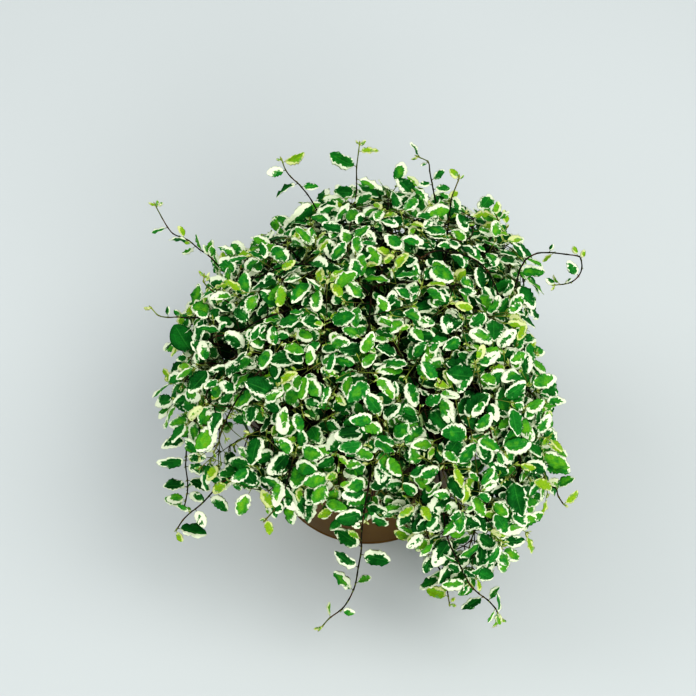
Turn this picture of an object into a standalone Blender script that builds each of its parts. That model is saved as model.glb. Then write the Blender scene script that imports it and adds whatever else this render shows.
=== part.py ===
"""Potted creeping fig (Ficus pumila, white-edged form) in a plain plastic pot.

Metres, +Z up. The origin is the centre of the underside of the pot, and the
front is -Y. Each vine is one piece: a stem with its leaves.
"""
import math
import random

import bmesh
import bpy
from mathutils import Vector
from mathutils.bvhtree import BVHTree

MM = 0.001

# ------------------------------------------------------------------
# Growth of the fig, in millimetres.
# A vine is a list of nodes. Each node may carry one leaf, on alternate sides.
# The canopy is a low dome that spills over the pot's rim as a skirt.
# ------------------------------------------------------------------
POT_H = 137.0          # height of the pot
RIM_R = 100.0          # outer radius of the pot's collar
BASE_R = 73.0          # outer radius of the pot's foot
WALL = 2.2             # wall of the pot
COLLAR_H = 19.0        # height of the collar
SOIL_Z = 119.0         # level of the soil, below the rim
SOIL_R = 92.0          # radius of the soil at its surface
STEM_R = 0.8           # radius of a stem
CROWN_Z = 232.0        # top of the canopy
DOME_Z = 138.0         # level where the dome becomes the skirt
STEP = 11.6            # distance between two leaf nodes
SEED = 51

# canopy: azimuth in degrees (-90 is the front), radius, lowest level of the skirt
CANOPY = [(-180, 135, 106), (-165, 138, 128), (-150, 138, 137), (-135, 140, 136), (-120, 133, 129), (-105, 125, 128),
          (-93, 119, 128), (-84, 120, 122), (-75, 138, 92), (-65, 155, 60), (-58, 158, 61), (-50, 155, 76), (-42, 156, 79),
          (-30, 142, 93), (-22, 129, 104), (-15, 127, 106), (0, 114, 104), (10, 107, 100), (20, 115, 98), (30, 139, 92),
          (45, 155, 90), (60, 154, 86), (75, 148, 84), (90, 141, 82), (105, 133, 83), (120, 126, 84), (135, 124, 88),
          (150, 127, 92), (165, 130, 98), (180, 135, 106)]

LEAN = math.radians(50.0)
FACE = Vector((0.0, -math.cos(LEAN), math.sin(LEAN)))   # front and up
FACE_UP = Vector((0.0, math.sin(LEAN), math.cos(LEAN)))
FACE_RIGHT = Vector((1.0, 0.0, 0.0))
UP = Vector((0.0, 0.0, 1.0))

# Long shoots that stand clear of the canopy: route points from the root to the
# tip, then leaves as (place along the route, direction in degrees on the plane
# that faces front and up, blade length, blade width as seen, tone).
# tone: 0 dark, 1 mid green, 2 young yellow-green, 3 plain green without a margin
SHOOTS = [
    ("back_left_up",
     [(-18, 30, 120), (-24, 46, 152), (-30, 66, 186), (-35, 80, 206), (-44, 86, 225), (-52, 90, 235),
      (-60, 94, 242), (-64, 98, 251)],
     [(6.9, 20, 14, 5, 2), (6.3, 189, 11, 7, 1), (4.8, 205, 16, 4, 0), (4.8, 2, 10, 5, 1), (3.8, 231, 20, 10, 0),
      (2.6, 191, 14, 7.5, 1), (3.2, 35, 15, 8, 0), (2.3, 20, 16, 9, 0)]),
    ("back_up",
     [(4, 36, 120), (0, 56, 150), (-8, 78, 177), (-10, 89, 196), (-10, 94, 211), (-9, 98, 222), (-9, 103, 239),
      (-8, 106, 247), (-7, 109, 257)],
     [(7.5, 0, 12, 4.5, 2), (6.1, 155, 18, 8, 1), (5.5, -25, 17, 6, 1), (4.8, 183, 14, 7.5, 0), (5, -59, 4, 3, 0),
      (3.2, 173, 20, 10, 1), (2.3, 162, 19, 9, 0), (3.2, 8, 17, 9, 1), (2.2, 5, 17, 9, 0), (2.6, 187, 17, 9, 1)]),
    ("back_right_up",
     [(20, 34, 120), (30, 52, 150), (40, 70, 182), (39, 78, 196), (36, 85, 208), (35, 89, 215), (35, 92, 222)],
     [(6, 133, 16, 9.5, 0), (4.7, 111, 10, 7, 2), (3.8, 54, 14, 8, 1), (4.2, 232, 9, 7, 1), (4.8, 176, 11, 10, 0),
      (3.7, -31, 9, 7, 0), (2.3, 185, 16, 9, 0)]),
    ("back_right_b",
     [(34, 26, 120), (44, 46, 152), (52, 70, 186), (52, 86, 207), (49, 93, 221), (47, 97, 230), (45, 101, 239),
      (44, 104, 244), (37, 106, 247)],
     [(8, 145, 16, 5, 0), (7.1, 201, 5, 2.5, 1), (5.1, 66, 13, 7, 1), (4.4, 4, 10, 5, 1), (4.7, 174, 8, 4, 0),
      (4, -9, 9, 4.5, 0), (3, 15, 16, 9, 0), (2.5, 185, 16, 9, 1)]),
    ("back_right_c",
     [(44, 20, 120), (54, 44, 150), (58, 70, 184), (60, 80, 205), (61, 87, 215), (63, 92, 224), (66, 96, 227),
      (67, 99, 232)],
     [(6.8, 126, 8, 5, 2), (4.8, -57, 12, 5.5, 1), (3.1, 32, 10, 4.5, 2), (3, 144, 13, 7, 1),
      (4.2, -21, 6, 4.5, 0), (2.4, -12, 16, 9, 1), (4.2, 150, 8, 4, 1)]),
    ("right_up",
     [(58, 14, 120), (70, 34, 152), (82, 58, 180), (88, 68, 192), (94, 75, 197), (98, 79, 202), (96, 84, 207)],
     [(6, 85, 9, 5, 2), (4.7, 192, 15, 5.5, 2), (4.1, 13, 10, 5, 2), (2.5, 36, 14, 8, 0), (4.8, 41, 8, 3, 1),
      (3.1, 150, 10, 6, 0), (4.6, 45, 12, 4, 1), (5.4, 174, 14, 4, 2), (3.7, 188, 11, 5, 1), (2.2, -20, 16, 9, 1)]),
    ("right_runner",
     [(66, 6, 120), (78, 20, 150), (107, 36, 178), (111, 44, 187), (117, 50, 197), (123, 54, 198),
      (136, 58, 195), (148, 60, 191), (157, 59, 190), (160, 55, 185), (158, 50, 179), (151, 45, 176),
      (139, 39, 180)],
     [(6.1, 178, 12, 5.5, 2), (5.9, 66, 5, 4, 0), (8, 115, 6, 4.5, 2), (8.1, 79, 6, 4.5, 2),
      (10.2, 124, 11, 6.5, 1), (11.5, 151, 8, 3, 2), (11.5, 45, 6, 2, 1), (12, 184, 11, 7, 0), (3.2, -6, 15, 7, 1),
      (2.2, -45, 19, 9.5, 0), (3.7, 54, 10, 6, 1), (3.7, 130, 13, 5, 0), (2.3, 200, 16, 9, 1)]),
    ("left_runner",
     [(-50, 14, 120), (-66, 28, 150), (-97, 42, 164), (-107, 54, 174), (-114, 60, 180), (-121, 66, 184),
      (-128, 72, 184), (-137, 79, 187), (-148, 85, 187), (-154, 90, 193), (-161, 98, 204)],
     [(10, 31, 4, 2, 2), (8.1, 119, 9, 5, 2), (8.8, 197, 10, 3, 1), (6.9, 139, 8, 7, 1), (6.6, 115, 8, 3.5, 2),
      (5.7, 173, 13, 3, 0), (5.7, 144, 6, 5, 2), (5.6, 218, 9, 2.5, 1), (5, 115, 11, 2.5, 1), (4.4, 117, 8, 4, 1),
      (4, -62, 13, 5, 1), (4, 90, 8, 4.5, 1), (5.2, 118, 13, 2.5, 1), (4.8, 48, 10, 3.5, 1), (3.8, 43, 12, 5, 1),
      (3.1, 36, 13, 5.5, 1), (2.4, 50, 12, 6, 0), (2.3, 200, 16, 9, 0)]),
    ("left_up",
     [(-44, 0, 120), (-60, -4, 152), (-78, -4, 179), (-92, -2, 194), (-99, 0, 202), (-106, 2, 207),
      (-113, 4, 213), (-118, 7, 217), (-118, 9, 222)],
     [(6.1, 21, 11, 2.5, 2), (4.8, 97, 6, 4.5, 2), (7.2, 45, 4, 2, 2), (3.5, 51, 10, 7, 1), (4.5, -45, 8, 5, 1),
      (2.4, 190, 16, 9, 0)]),
    ("left_low",
     [(-62, 4, 120), (-80, 8, 146), (-104, 10, 171), (-123, 10, 176), (-133, 11, 175), (-144, 12, 175),
      (-151, 13, 173), (-156, 14, 175), (-160, 16, 180)],
     [(4.3, 153, 7, 4, 1), (3.8, 229, 8, 7, 1), (3.9, 55, 9, 6.5, 2), (2.8, 112, 12, 6, 0), (2.6, 86, 11, 6, 0),
      (3, -34, 8, 7, 0), (2.5, 0, 11, 7, 0), (5.6, 90, 6, 3, 1), (4.7, 41, 8, 4.5, 0), (2.3, 60, 16, 9, 0)]),
    ("left_plain",
     [(-66, -8, 120), (-84, -12, 144), (-97, -12, 163), (-107, -12, 171), (-117, -13, 174), (-126, -16, 168),
      (-135, -20, 161)],
     [(5.2, 121, 21, 16, 3), (3.2, 170, 22, 8.5, 3), (1.8, 153, 18, 11, 3), (5, -62, 11, 7, 0),
      (5.4, 190, 9, 5, 1)]),
    ("left_trail",
     [(-66, -20, 120), (-84, -28, 150), (-106, -38, 165), (-119, -46, 159), (-125, -52, 153), (-129, -58, 146),
      (-131, -64, 135), (-133, -69, 125), (-134, -73, 113), (-135, -76, 103), (-134, -78, 96), (-135, -80, 82),
      (-138, -83, 68)],
     [(6.7, 185, 16, 7.5, 0), (5.8, -26, 15, 7, 0), (7, 5, 17, 5.5, 1), (8, 190, 18, 7.5, 0), (7.7, -14, 8, 5, 2),
      (8.6, -10, 15, 7.5, 0), (10.6, 180, 15, 6.5, 0), (10.1, -19, 15, 6.5, 0), (10.7, 63, 7, 3, 0),
      (11.6, 173, 12, 6, 1), (12, 157, 13, 6.5, 1), (11, -25, 11, 6.5, 0), (12, -51, 5, 3, 2),
      (5.2, 196, 13, 7, 1), (4.8, -19, 14, 7, 0), (3.4, 190, 17, 9, 0), (3, 30, 16, 9, 1), (2.3, 190, 16, 9, 0)]),
    ("front_left_trail",
     [(-50, -50, 120), (-62, -72, 146), (-75, -92, 146), (-91, -100, 137), (-107, -105, 127), (-118, -108, 112),
      (-126, -109, 102), (-133, -111, 96), (-141, -113, 81)],
     [(1.8, 204, 15, 8, 0), (2.5, 183, 16, 8, 0), (2.9, 182, 13, 6, 1), (3.6, 145, 8, 4, 0), (3.4, -61, 9, 5.5, 1),
      (2.9, -67, 12, 6.5, 0), (2.5, -37, 11, 7, 1), (4.7, -33, 14, 7, 0), (6, -64, 12, 7, 0), (7.9, -7, 18, 7, 0),
      (5.2, 52, 7, 4, 2), (8, -60, 7, 3.5, 2), (4.2, 73, 7, 4, 0), (6.5, 153, 8, 3.5, 1), (3.6, 156, 9, 4.5, 1),
      (2.3, -76, 19, 7, 0), (0.9, 190, 16, 8, 0), (0.7, -40, 14, 8, 1)]),
    ("front_left_tip",
     [(-38, -62, 120), (-46, -88, 150), (-54, -110, 158), (-58, -121, 153), (-61, -127, 142), (-67, -130, 132),
      (-73, -133, 125)],
     [(5, 130, 13, 6.5, 2), (6, -78, 9, 5, 2), (3.5, 149, 13, 6.5, 1), (4, 248, 8, 6, 0), (3.9, -48, 10, 7, 0),
      (2.2, -32, 11, 7, 1), (2.5, 155, 11, 7, 0), (0.9, 180, 16, 9, 1)]),
    ("front_trail",
     [(4, -66, 120), (2, -96, 152), (-1, -122, 151), (-4, -134, 138), (-6, -143, 121), (-6, -147, 107),
      (-8, -151, 92), (-10, -154, 74), (-14, -158, 61), (-20, -161, 50), (-28, -164, 44), (-36, -167, 32)],
     [(6.1, 153, 17, 8, 0), (5.3, -11, 18, 9, 0), (7, 44, 13, 7, 1), (7.5, 136, 16, 6, 1), (10.1, 71, 12, 4, 2),
      (9.1, 11, 10, 7, 1), (4.3, 109, 14, 7.5, 2), (4.8, 148, 19, 9.5, 0), (3.8, 121, 13, 9, 0),
      (2.8, -13, 13, 5, 0), (3.2, 90, 8, 5, 1), (3.1, 193, 17, 10.5, 0), (2.2, 31, 16, 8, 0), (2.2, 180, 15, 9, 0),
      (10.7, 217, 4, 2, 2), (0.9, 10, 16, 9, 1), (0.6, 185, 16, 9, 0)]),
    ("front_right_trail",
     [(40, -64, 120), (46, -94, 150), (50, -120, 140), (54, -140, 116), (62, -150, 99), (68, -156, 87),
      (73, -159, 77), (78, -161, 72), (85, -163, 66), (91, -166, 59), (94, -168, 48)],
     [(7.2, 102, 9, 4, 2), (7.2, 206, 15, 4.5, 0), (8.1, 54, 10, 3.5, 1), (9.4, 80, 13, 3, 1), (9, 247, 9, 3, 1),
      (9.1, -85, 8, 4.5, 2), (10, 243, 6, 2.5, 2), (4.5, -30, 10, 4, 0), (4.6, 150, 10, 6, 0),
      (3.9, 135, 12, 6, 1), (3.9, 21, 17, 6, 1), (5.1, 25, 11, 4, 1), (3, 11, 11, 7, 1), (2.8, 188, 11, 7.5, 0),
      (0.8, 190, 16, 8, 0), (1.3, 15, 16, 9, 1), (1.6, 190, 15, 9, 1)]),
    ("front_right_b",
     [(24, -66, 120), (30, -94, 150), (34, -118, 138), (41, -136, 109), (47, -144, 89), (53, -147, 74),
      (56, -150, 63), (59, -153, 44)],
     [(3.7, 245, 12, 10, 0), (5.2, 204, 16, 5.5, 0), (6.2, 40, 20, 9, 1), (6.6, 163, 13, 7, 2),
      (4.3, 37, 15, 7.5, 0), (7, 45, 4, 3, 2), (2.9, 159, 10, 7, 0), (3.1, 203, 11, 7.5, 1), (3.5, 36, 10, 7, 1),
      (0.9, 10, 16, 9, 0), (1.3, 185, 17, 9, 1)]),
    ("right_tip",
     [(66, -40, 120), (84, -60, 150), (108, -84, 141), (118, -95, 126), (126, -103, 123), (129, -106, 129),
      (133, -108, 126), (135, -110, 119), (139, -112, 113)],
     [(5.9, 34, 12, 5, 1), (8, 44, 11, 5, 2), (8, -34, 3, 2, 2), (4.1, 171, 7, 4.5, 0), (3.4, 214, 11, 9, 1),
      (3.7, -61, 8, 3, 1), (2.8, 197, 10, 7.5, 0), (2.7, 34, 11, 7, 1), (2.4, 30, 16, 9, 1), (2.6, 210, 17, 9, 0)]),
]


def canopy_at(phi):
    """Radius and lowest level of the canopy at an azimuth in degrees."""
    phi = (phi + 180.0) % 360.0 - 180.0
    for (a, ra, za), (b, rb, zb) in zip(CANOPY, CANOPY[1:]):
        if a <= phi <= b:
            k = (phi - a) / (b - a)
            k = k * k * (3 - 2 * k)
            return ra + (rb - ra) * k, za + (zb - za) * k
    return CANOPY[0][1], CANOPY[0][2]


def azimuth(p):
    return math.degrees(math.atan2(p.y, p.x))


def canopy_depth(p):
    """How far a point stands outside the canopy surface (negative inside), and the outward normal there."""
    radius = math.hypot(p.x, p.y)
    big, _low = canopy_at(azimuth(p))
    if p.z >= DOME_Z:
        h = CROWN_Z - DOME_Z
        v = Vector((p.x, p.y, p.z - DOME_Z))
        f = math.sqrt((radius / big) ** 2 + ((p.z - DOME_Z) / h) ** 2)
        n = Vector((p.x / big ** 2, p.y / big ** 2, (p.z - DOME_Z) / h ** 2))
        n = n.normalized() if n.length > 0 else UP.copy()
        return (v.length * (1 - 1 / f) if f > 0.05 else -h), n
    n = Vector((p.x, p.y, 0.0))
    return radius - big, (n.normalized() if radius > 0 else UP.copy())


def canopy_point(phi, slope, inset):
    """The point of the dome at an azimuth and at an angle from the crown (90 is its edge), set in by some depth."""
    big, _low = canopy_at(phi)
    a = math.radians(slope)
    r = big * math.sin(a)
    z = DOME_Z + (CROWN_Z - DOME_Z) * math.cos(a)
    p = Vector((r * math.cos(math.radians(phi)), r * math.sin(math.radians(phi)), z))
    _d, n = canopy_depth(p)
    return p - n * inset


def downhill(n):
    """The direction that runs down the canopy from the crown, where its normal is n."""
    flat = math.hypot(n.x, n.y)
    if flat < 1e-6:
        return Vector((1.0, 0.0, 0.0))
    return Vector((n.x / flat * n.z, n.y / flat * n.z, -flat)).normalized()


def pot_outer(z):
    """Outer radius of the pot at a level."""
    if z >= POT_H - COLLAR_H:
        return RIM_R
    return BASE_R + (RIM_R - 4.0 - BASE_R) * z / (POT_H - COLLAR_H)


def in_pot(p, gap):
    """Whether a point is closer than gap to the pot, the soil or the floor."""
    if p.z < gap + 1.0:
        return True
    if p.z > POT_H + gap:
        return False
    r = math.hypot(p.x, p.y)
    if r > pot_outer(p.z) + gap:
        return False
    if r > SOIL_R - gap:
        return True
    return p.z < SOIL_Z + gap


class Room:
    """Remembers the stems that stand already, in cells, so that a new stem keeps clear of them."""

    CELL = 20.0

    def __init__(self):
        self.cells = {}
        self.nodes = {}

    def keys(self, a, b, grow):
        lo = [int(math.floor((min(a[i], b[i]) - grow) / self.CELL)) for i in range(3)]
        hi = [int(math.floor((max(a[i], b[i]) + grow) / self.CELL)) for i in range(3)]
        for i in range(lo[0], hi[0] + 1):
            for j in range(lo[1], hi[1] + 1):
                for k in range(lo[2], hi[2] + 1):
                    yield (i, j, k)

    def add(self, a, b, owner):
        for key in self.keys(a, b, 0.0):
            self.cells.setdefault(key, []).append((a, b, owner))

    def add_node(self, p):
        key = tuple(int(math.floor(p[i] / self.CELL)) for i in range(3))
        self.nodes.setdefault(key, []).append(p)

    def crowd(self, p, reach):
        total = 0.0
        for key in self.keys(p, p, reach):
            for q in self.nodes.get(key, ()):
                d = (q - p).length
                if d < reach:
                    total += 1 - d / reach
        return total

    def free(self, a, b, gap, owner, tail):
        """No other stem is nearer than gap. Of the owner's own stem, the last piece (tail) may touch."""
        for key in self.keys(a, b, gap):
            for c, d, who in self.cells.get(key, ()):
                if who == owner and (d - a).length < 1e-6:
                    continue
                if tail is not None and who == owner and (c - tail).length < 1e-6:
                    continue
                if stem_gap(a, b, c, d) < gap:
                    return False
        return True


def stem_gap(p1, q1, p2, q2):
    """Shortest distance between two straight pieces of stem."""
    d1, d2, r = q1 - p1, q2 - p2, p1 - p2
    a, e, f = d1.dot(d1), d2.dot(d2), d2.dot(r)
    c, b = d1.dot(r), d1.dot(d2)
    den = a * e - b * b
    s = min(1.0, max(0.0, (b * f - c * e) / den)) if den > 1e-9 else 0.0
    t = (b * s + f) / e if e > 1e-9 else 0.0
    if t < 0.0:
        t = 0.0
        s = min(1.0, max(0.0, -c / a)) if a > 1e-9 else 0.0
    elif t > 1.0:
        t = 1.0
        s = min(1.0, max(0.0, (b - c) / a)) if a > 1e-9 else 0.0
    return ((p1 + d1 * s) - (p2 + d2 * t)).length


def resample(route, step):
    """Points at an even distance along a smooth curve through the route's points."""
    fine, where = [], []
    n = len(route)
    for i in range(n - 1):
        p0 = route[i - 1] if i > 0 else route[0] * 2 - route[1]
        p1, p2 = route[i], route[i + 1]
        p3 = route[i + 2] if i + 2 < n else route[n - 1] * 2 - route[n - 2]
        for j in range(24):
            t = j / 24.0
            fine.append(0.5 * ((2 * p1) + (p2 - p0) * t + (2 * p0 - 5 * p1 + 4 * p2 - p3) * t * t
                               + (3 * p1 - p0 - 3 * p2 + p3) * t ** 3))
            where.append(i + t)
    fine.append(route[n - 1].copy())
    where.append(float(n - 1))
    length = [0.0]
    for a, b in zip(fine, fine[1:]):
        length.append(length[-1] + (b - a).length)
    count = max(2, int(round(length[-1] / step)))
    out, place, k = [], [], 0
    for i in range(count + 1):
        want = length[-1] * i / count
        while k < len(length) - 2 and length[k + 1] < want:
            k += 1
        u = (want - length[k]) / max(1e-9, length[k + 1] - length[k])
        out.append(fine[k].lerp(fine[k + 1], min(1.0, u)))
        place.append(where[k] + (where[k + 1] - where[k]) * min(1.0, u))
    return out, place


def shoot_nodes(route, places, step):
    """Nodes of a long shoot: one at each of its leaves, and more where those are far apart."""
    fine, where = resample(route, 0.8)
    length = [0.0]
    for a, b in zip(fine, fine[1:]):
        length.append(length[-1] + (b - a).length)

    def along(place):
        for k in range(len(where) - 1):
            if where[k + 1] >= place:
                return length[k]
        return length[-1]

    marks, at = [], 2.0
    for place in sorted(places):
        at = max(along(place), at + 3.6)
        marks.append((at, place))
    total = max(length[-1], at + 3.0)
    stops = [(0.0, None)]
    for mark in marks + [(total, None)]:
        gap = mark[0] - stops[-1][0]
        parts = max(1, int(round(gap / step)))
        start = stops[-1][0]
        for j in range(1, parts):
            stops.append((start + gap * j / parts, None))
        stops.append(mark)
    out, place, spec = [], [], []
    for want, mark in stops:
        k = 0
        while k < len(length) - 2 and length[k + 1] < want:
            k += 1
        u = (want - length[k]) / max(1e-9, length[k + 1] - length[k])
        out.append(fine[k].lerp(fine[k + 1], min(1.6, u)))
        place.append(where[k] + (where[k + 1] - where[k]) * min(1.0, u))
        spec.append(mark)
    return out, place, spec


class Leaf:
    """One leaf: where its stalk leaves the stem, its axis, the way it faces and its size."""

    __slots__ = ("node", "base", "axis", "face", "stalk", "length", "width", "tone", "side", "seed", "shoot")


def plain_leaves(vines):
    """The middles of the large leaves that have no cream at all."""
    return [leaf.base + leaf.axis * (leaf.stalk + 0.5 * leaf.length) for vine in vines for leaf in vine["leaves"] if leaf.tone == 3]


def hides(p, middles):
    """Whether a leaf at p would stand in front of one of these leaves."""
    for c in middles:
        v = p - c
        far = v.dot(FACE)
        if -6 < far < 70 and (v - FACE * far).length < 15:
            return True
    return False


def leaf_hull(leaf, pad=0.35):
    """A closed lens around a leaf: nothing else may cut it."""
    a, n = leaf.axis, leaf.face
    s = n.cross(a)
    c0 = leaf.base + a * 1.7
    c1 = leaf.base + a * (leaf.stalk + 0.44 * leaf.length)
    tip = leaf.base + a * (leaf.stalk + leaf.length + pad)
    w = leaf.width * 0.5 + pad
    v = [c0 + n * 0.75, c0 + s * 0.8, c0 - n * 0.75, c0 - s * 0.8,
         c1 + n * 0.75, c1 + s * w, c1 - n * 0.75, c1 - s * w, tip]
    f = [(0, 1, 2), (0, 2, 3)]
    for i in range(4):
        j = (i + 1) % 4
        f += [(i, j, 4 + j), (i, 4 + j, 4 + i), (4 + i, 4 + j, 8)]
    return v, f


class Thicket:
    """All the leaves and stems that stand already, as triangles in blocks, so that a new leaf keeps clear of them."""

    def __init__(self):
        self.blocks, self.v, self.f = [], [], []
        self.fresh = None

    def add(self, v, f):
        k = len(self.v)
        self.v += v
        self.f += [tuple(i + k for i in t) for t in f]
        self.fresh = None
        if len(self.f) > 700:
            self.blocks.append(BVHTree.FromPolygons(self.v, self.f, all_triangles=True))
            self.v, self.f = [], []

    def hits(self, v, f):
        if self.fresh is None and self.f:
            self.fresh = BVHTree.FromPolygons(self.v, self.f, all_triangles=True)
        tree = BVHTree.FromPolygons(v, f, all_triangles=True)
        for block in self.blocks:
            if block.overlap(tree):
                return True
        return bool(self.f and self.fresh.overlap(tree))


def stem_tube(a, b, r=1.25):
    """A three-sided tube around one piece of stem."""
    t = (b - a).normalized()
    s = t.cross(UP if abs(t.z) < 0.9 else FACE_RIGHT).normalized()
    n = s.cross(t)
    v = []
    for p in (a, b):
        for k in range(3):
            w = 2 * math.pi * k / 3
            v.append(p + (s * math.cos(w) + n * math.sin(w)) * r)
    f = []
    for i in range(3):
        j = (i + 1) % 3
        f += [(i, j, 3 + j), (i, 3 + j, 3 + i)]
    return v, f


def turned(v, axis, degrees):
    """A vector turned about an axis."""
    w = math.radians(degrees)
    c, s = math.cos(w), math.sin(w)
    return v * c + axis.cross(v) * s + axis * (axis.dot(v) * (1 - c))


def grow_stems(fill, rng):
    """The vines' nodes: the long shoots first, then the vines that fill the dome."""
    room = Room()
    vines = []
    for name, route, leaves in SHOOTS:
        pts, place, marks = shoot_nodes([Vector(p) for p in route], [leaf[0] for leaf in leaves], STEP * 0.75)
        pts[0].z = SOIL_Z + 0.3
        vines.append({"name": name, "pts": pts, "place": place, "marks": marks, "spec": leaves, "done": True, "young": 3})
    for k, vine in enumerate(vines):
        # a shoot that would touch an earlier one is nudged clear of it
        pts = vine["pts"]
        for i in range(1, len(pts)):
            best = pts[i]
            for trial in range(40):
                p = pts[i] + Vector((rng.uniform(-1, 1), rng.uniform(-1, 1), rng.uniform(-1, 1))) * (0.25 * trial)
                if room.free(pts[i - 1], p, 2.4, k, pts[i - 2] if i > 1 else None) and not in_pot(p, 1.5) \
                        and not in_pot((p + pts[i - 1]) * 0.5, 1.2 if i > 1 else 0.0):
                    best = p
                    break
            pts[i] = best
            room.add(pts[i - 1], pts[i], k)
            room.add_node(pts[i])
    # the vines that fill the dome: each leaves the soil, comes out of the dome at its own place, then runs down it
    starts = []
    for i in range(fill):
        k = (i + 0.5) / fill
        slope = 4.0 + 80.0 * k ** 1.15
        starts.append((math.degrees(i * 2.39996) + rng.uniform(-12, 12), slope))
    used = [v["pts"][0] for v in vines]
    growing = []
    for i, (phi, slope) in enumerate(starts):
        inset = rng.choice((1.0, 3.0, 6.0, 9.0, 14.0, 20.0))
        done = None
        for trial in range(60):
            a = phi + rng.uniform(-1, 1) * (4 + trial)
            target = canopy_point(a, slope + rng.uniform(-3, 3), inset)
            _d, n = canopy_depth(target)
            e = downhill(n)
            r = min(80.0, 0.5 * math.hypot(target.x, target.y) + rng.uniform(0, 18 + trial * 0.4))
            w = math.radians(a + rng.uniform(-25, 25))
            root = Vector((r * math.cos(w), r * math.sin(w), SOIL_Z + 0.3))
            if any((root - q).length < 5.0 for q in used):
                continue
            reach = (target - root).length
            p1 = root + UP * (0.42 * reach) + Vector((math.cos(w), math.sin(w), 0)) * (0.08 * reach)
            p2 = target - e * (0.32 * reach) + UP * (0.10 * reach if slope > 60 else 0.0)
            route = []
            for j in range(7):
                t = j / 6.0
                route.append(root * (1 - t) ** 3 + p1 * (3 * t * (1 - t) ** 2) + p2 * (3 * t * t * (1 - t)) + target * t ** 3)
            pts, _place = resample(route, STEP)
            ok = True
            for j in range(1, len(pts)):
                if not room.free(pts[j - 1], pts[j], 2.4, None, None):
                    ok = False
                    break
                for u in (0.33, 0.66, 1.0):
                    q = pts[j - 1].lerp(pts[j], u)
                    if q.z > SOIL_Z + 3 and in_pot(q, 2.0) or (j > 1 and in_pot(q, 1.5)):
                        ok = False
                if not ok:
                    break
            if ok:
                done = pts
                break
        if done is None:
            continue
        used.append(done[0])
        k = len(vines)
        for j in range(1, len(done)):
            room.add(done[j - 1], done[j], k)
            room.add_node(done[j])
        vine = {"name": "dome_%02d" % i, "pts": done, "spec": None, "done": False, "inset": inset,
                "dir": (done[-1] - done[-2]).normalized(), "young": 3,
                "left": rng.randint(9, 15) if slope < 40 else rng.randint(6, 12), "bend": rng.uniform(-1, 1)}
        vines.append(vine)
        growing.append((k, vine))
    while any(not v["done"] for _k, v in growing):
        for k, vine in growing:
            if vine["done"]:
                continue
            pts = vine["pts"]
            p = pts[-1]
            d, n = canopy_depth(p)
            e = downhill(n)
            low = canopy_at(azimuth(p))[1]
            if vine["left"] <= 0 or p.z < low + 4:
                vine["done"] = True
                continue
            best = None
            vine["bend"] = 0.7 * vine["bend"] + rng.uniform(-0.6, 0.6)
            for turn in (-48, -32, -18, -6, 6, 18, 32, 48):
                goal = turned(e, n, turn + 10 * vine["bend"])
                step = (vine["dir"] * 0.75 + goal * 0.75 - n * (0.045 * (d + vine["inset"]))
                        + Vector((rng.uniform(-1, 1), rng.uniform(-1, 1), rng.uniform(-1, 1))) * 0.10).normalized()
                q = p + step * (STEP * rng.uniform(0.9, 1.06))
                if q.z < 14 or in_pot(q, 3.0) or in_pot((p + q) * 0.5, 2.2):
                    continue
                if not room.free(p, q, 2.4, k, pts[-2]):
                    continue
                cost = room.crowd(q + step * 6, 26.0) + 0.010 * abs(turn)
                if best is None or cost < best[0]:
                    best = (cost, q, step)
            if best is None:
                vine["done"] = True
                continue
            _c, q, step = best
            room.add(p, q, k)
            room.add_node(q)
            pts.append(q)
            vine["dir"] = step
            vine["left"] -= 1
    return vines, room


def tangent_at(pts, i):
    a = pts[max(0, i - 1)]
    b = pts[min(len(pts) - 1, i + 1)]
    return (b - a).normalized()


def leaf_clear(leaf, thicket):
    """Whether a leaf stands clear of the pot, the soil and everything that grew before."""
    v, f = leaf_hull(leaf)
    for p in v[4:]:
        if in_pot(p, 1.2):
            return None
    for u in (0.3, 0.6, 0.8):
        if in_pot(v[1].lerp(v[5], u), 1.0) or in_pot(v[3].lerp(v[7], u), 1.0) or in_pot(v[5].lerp(v[8], u), 1.0) \
                or in_pot(v[7].lerp(v[8], u), 1.0):
            return None
    if thicket.hits(v, f):
        return None
    return v, f


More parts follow.
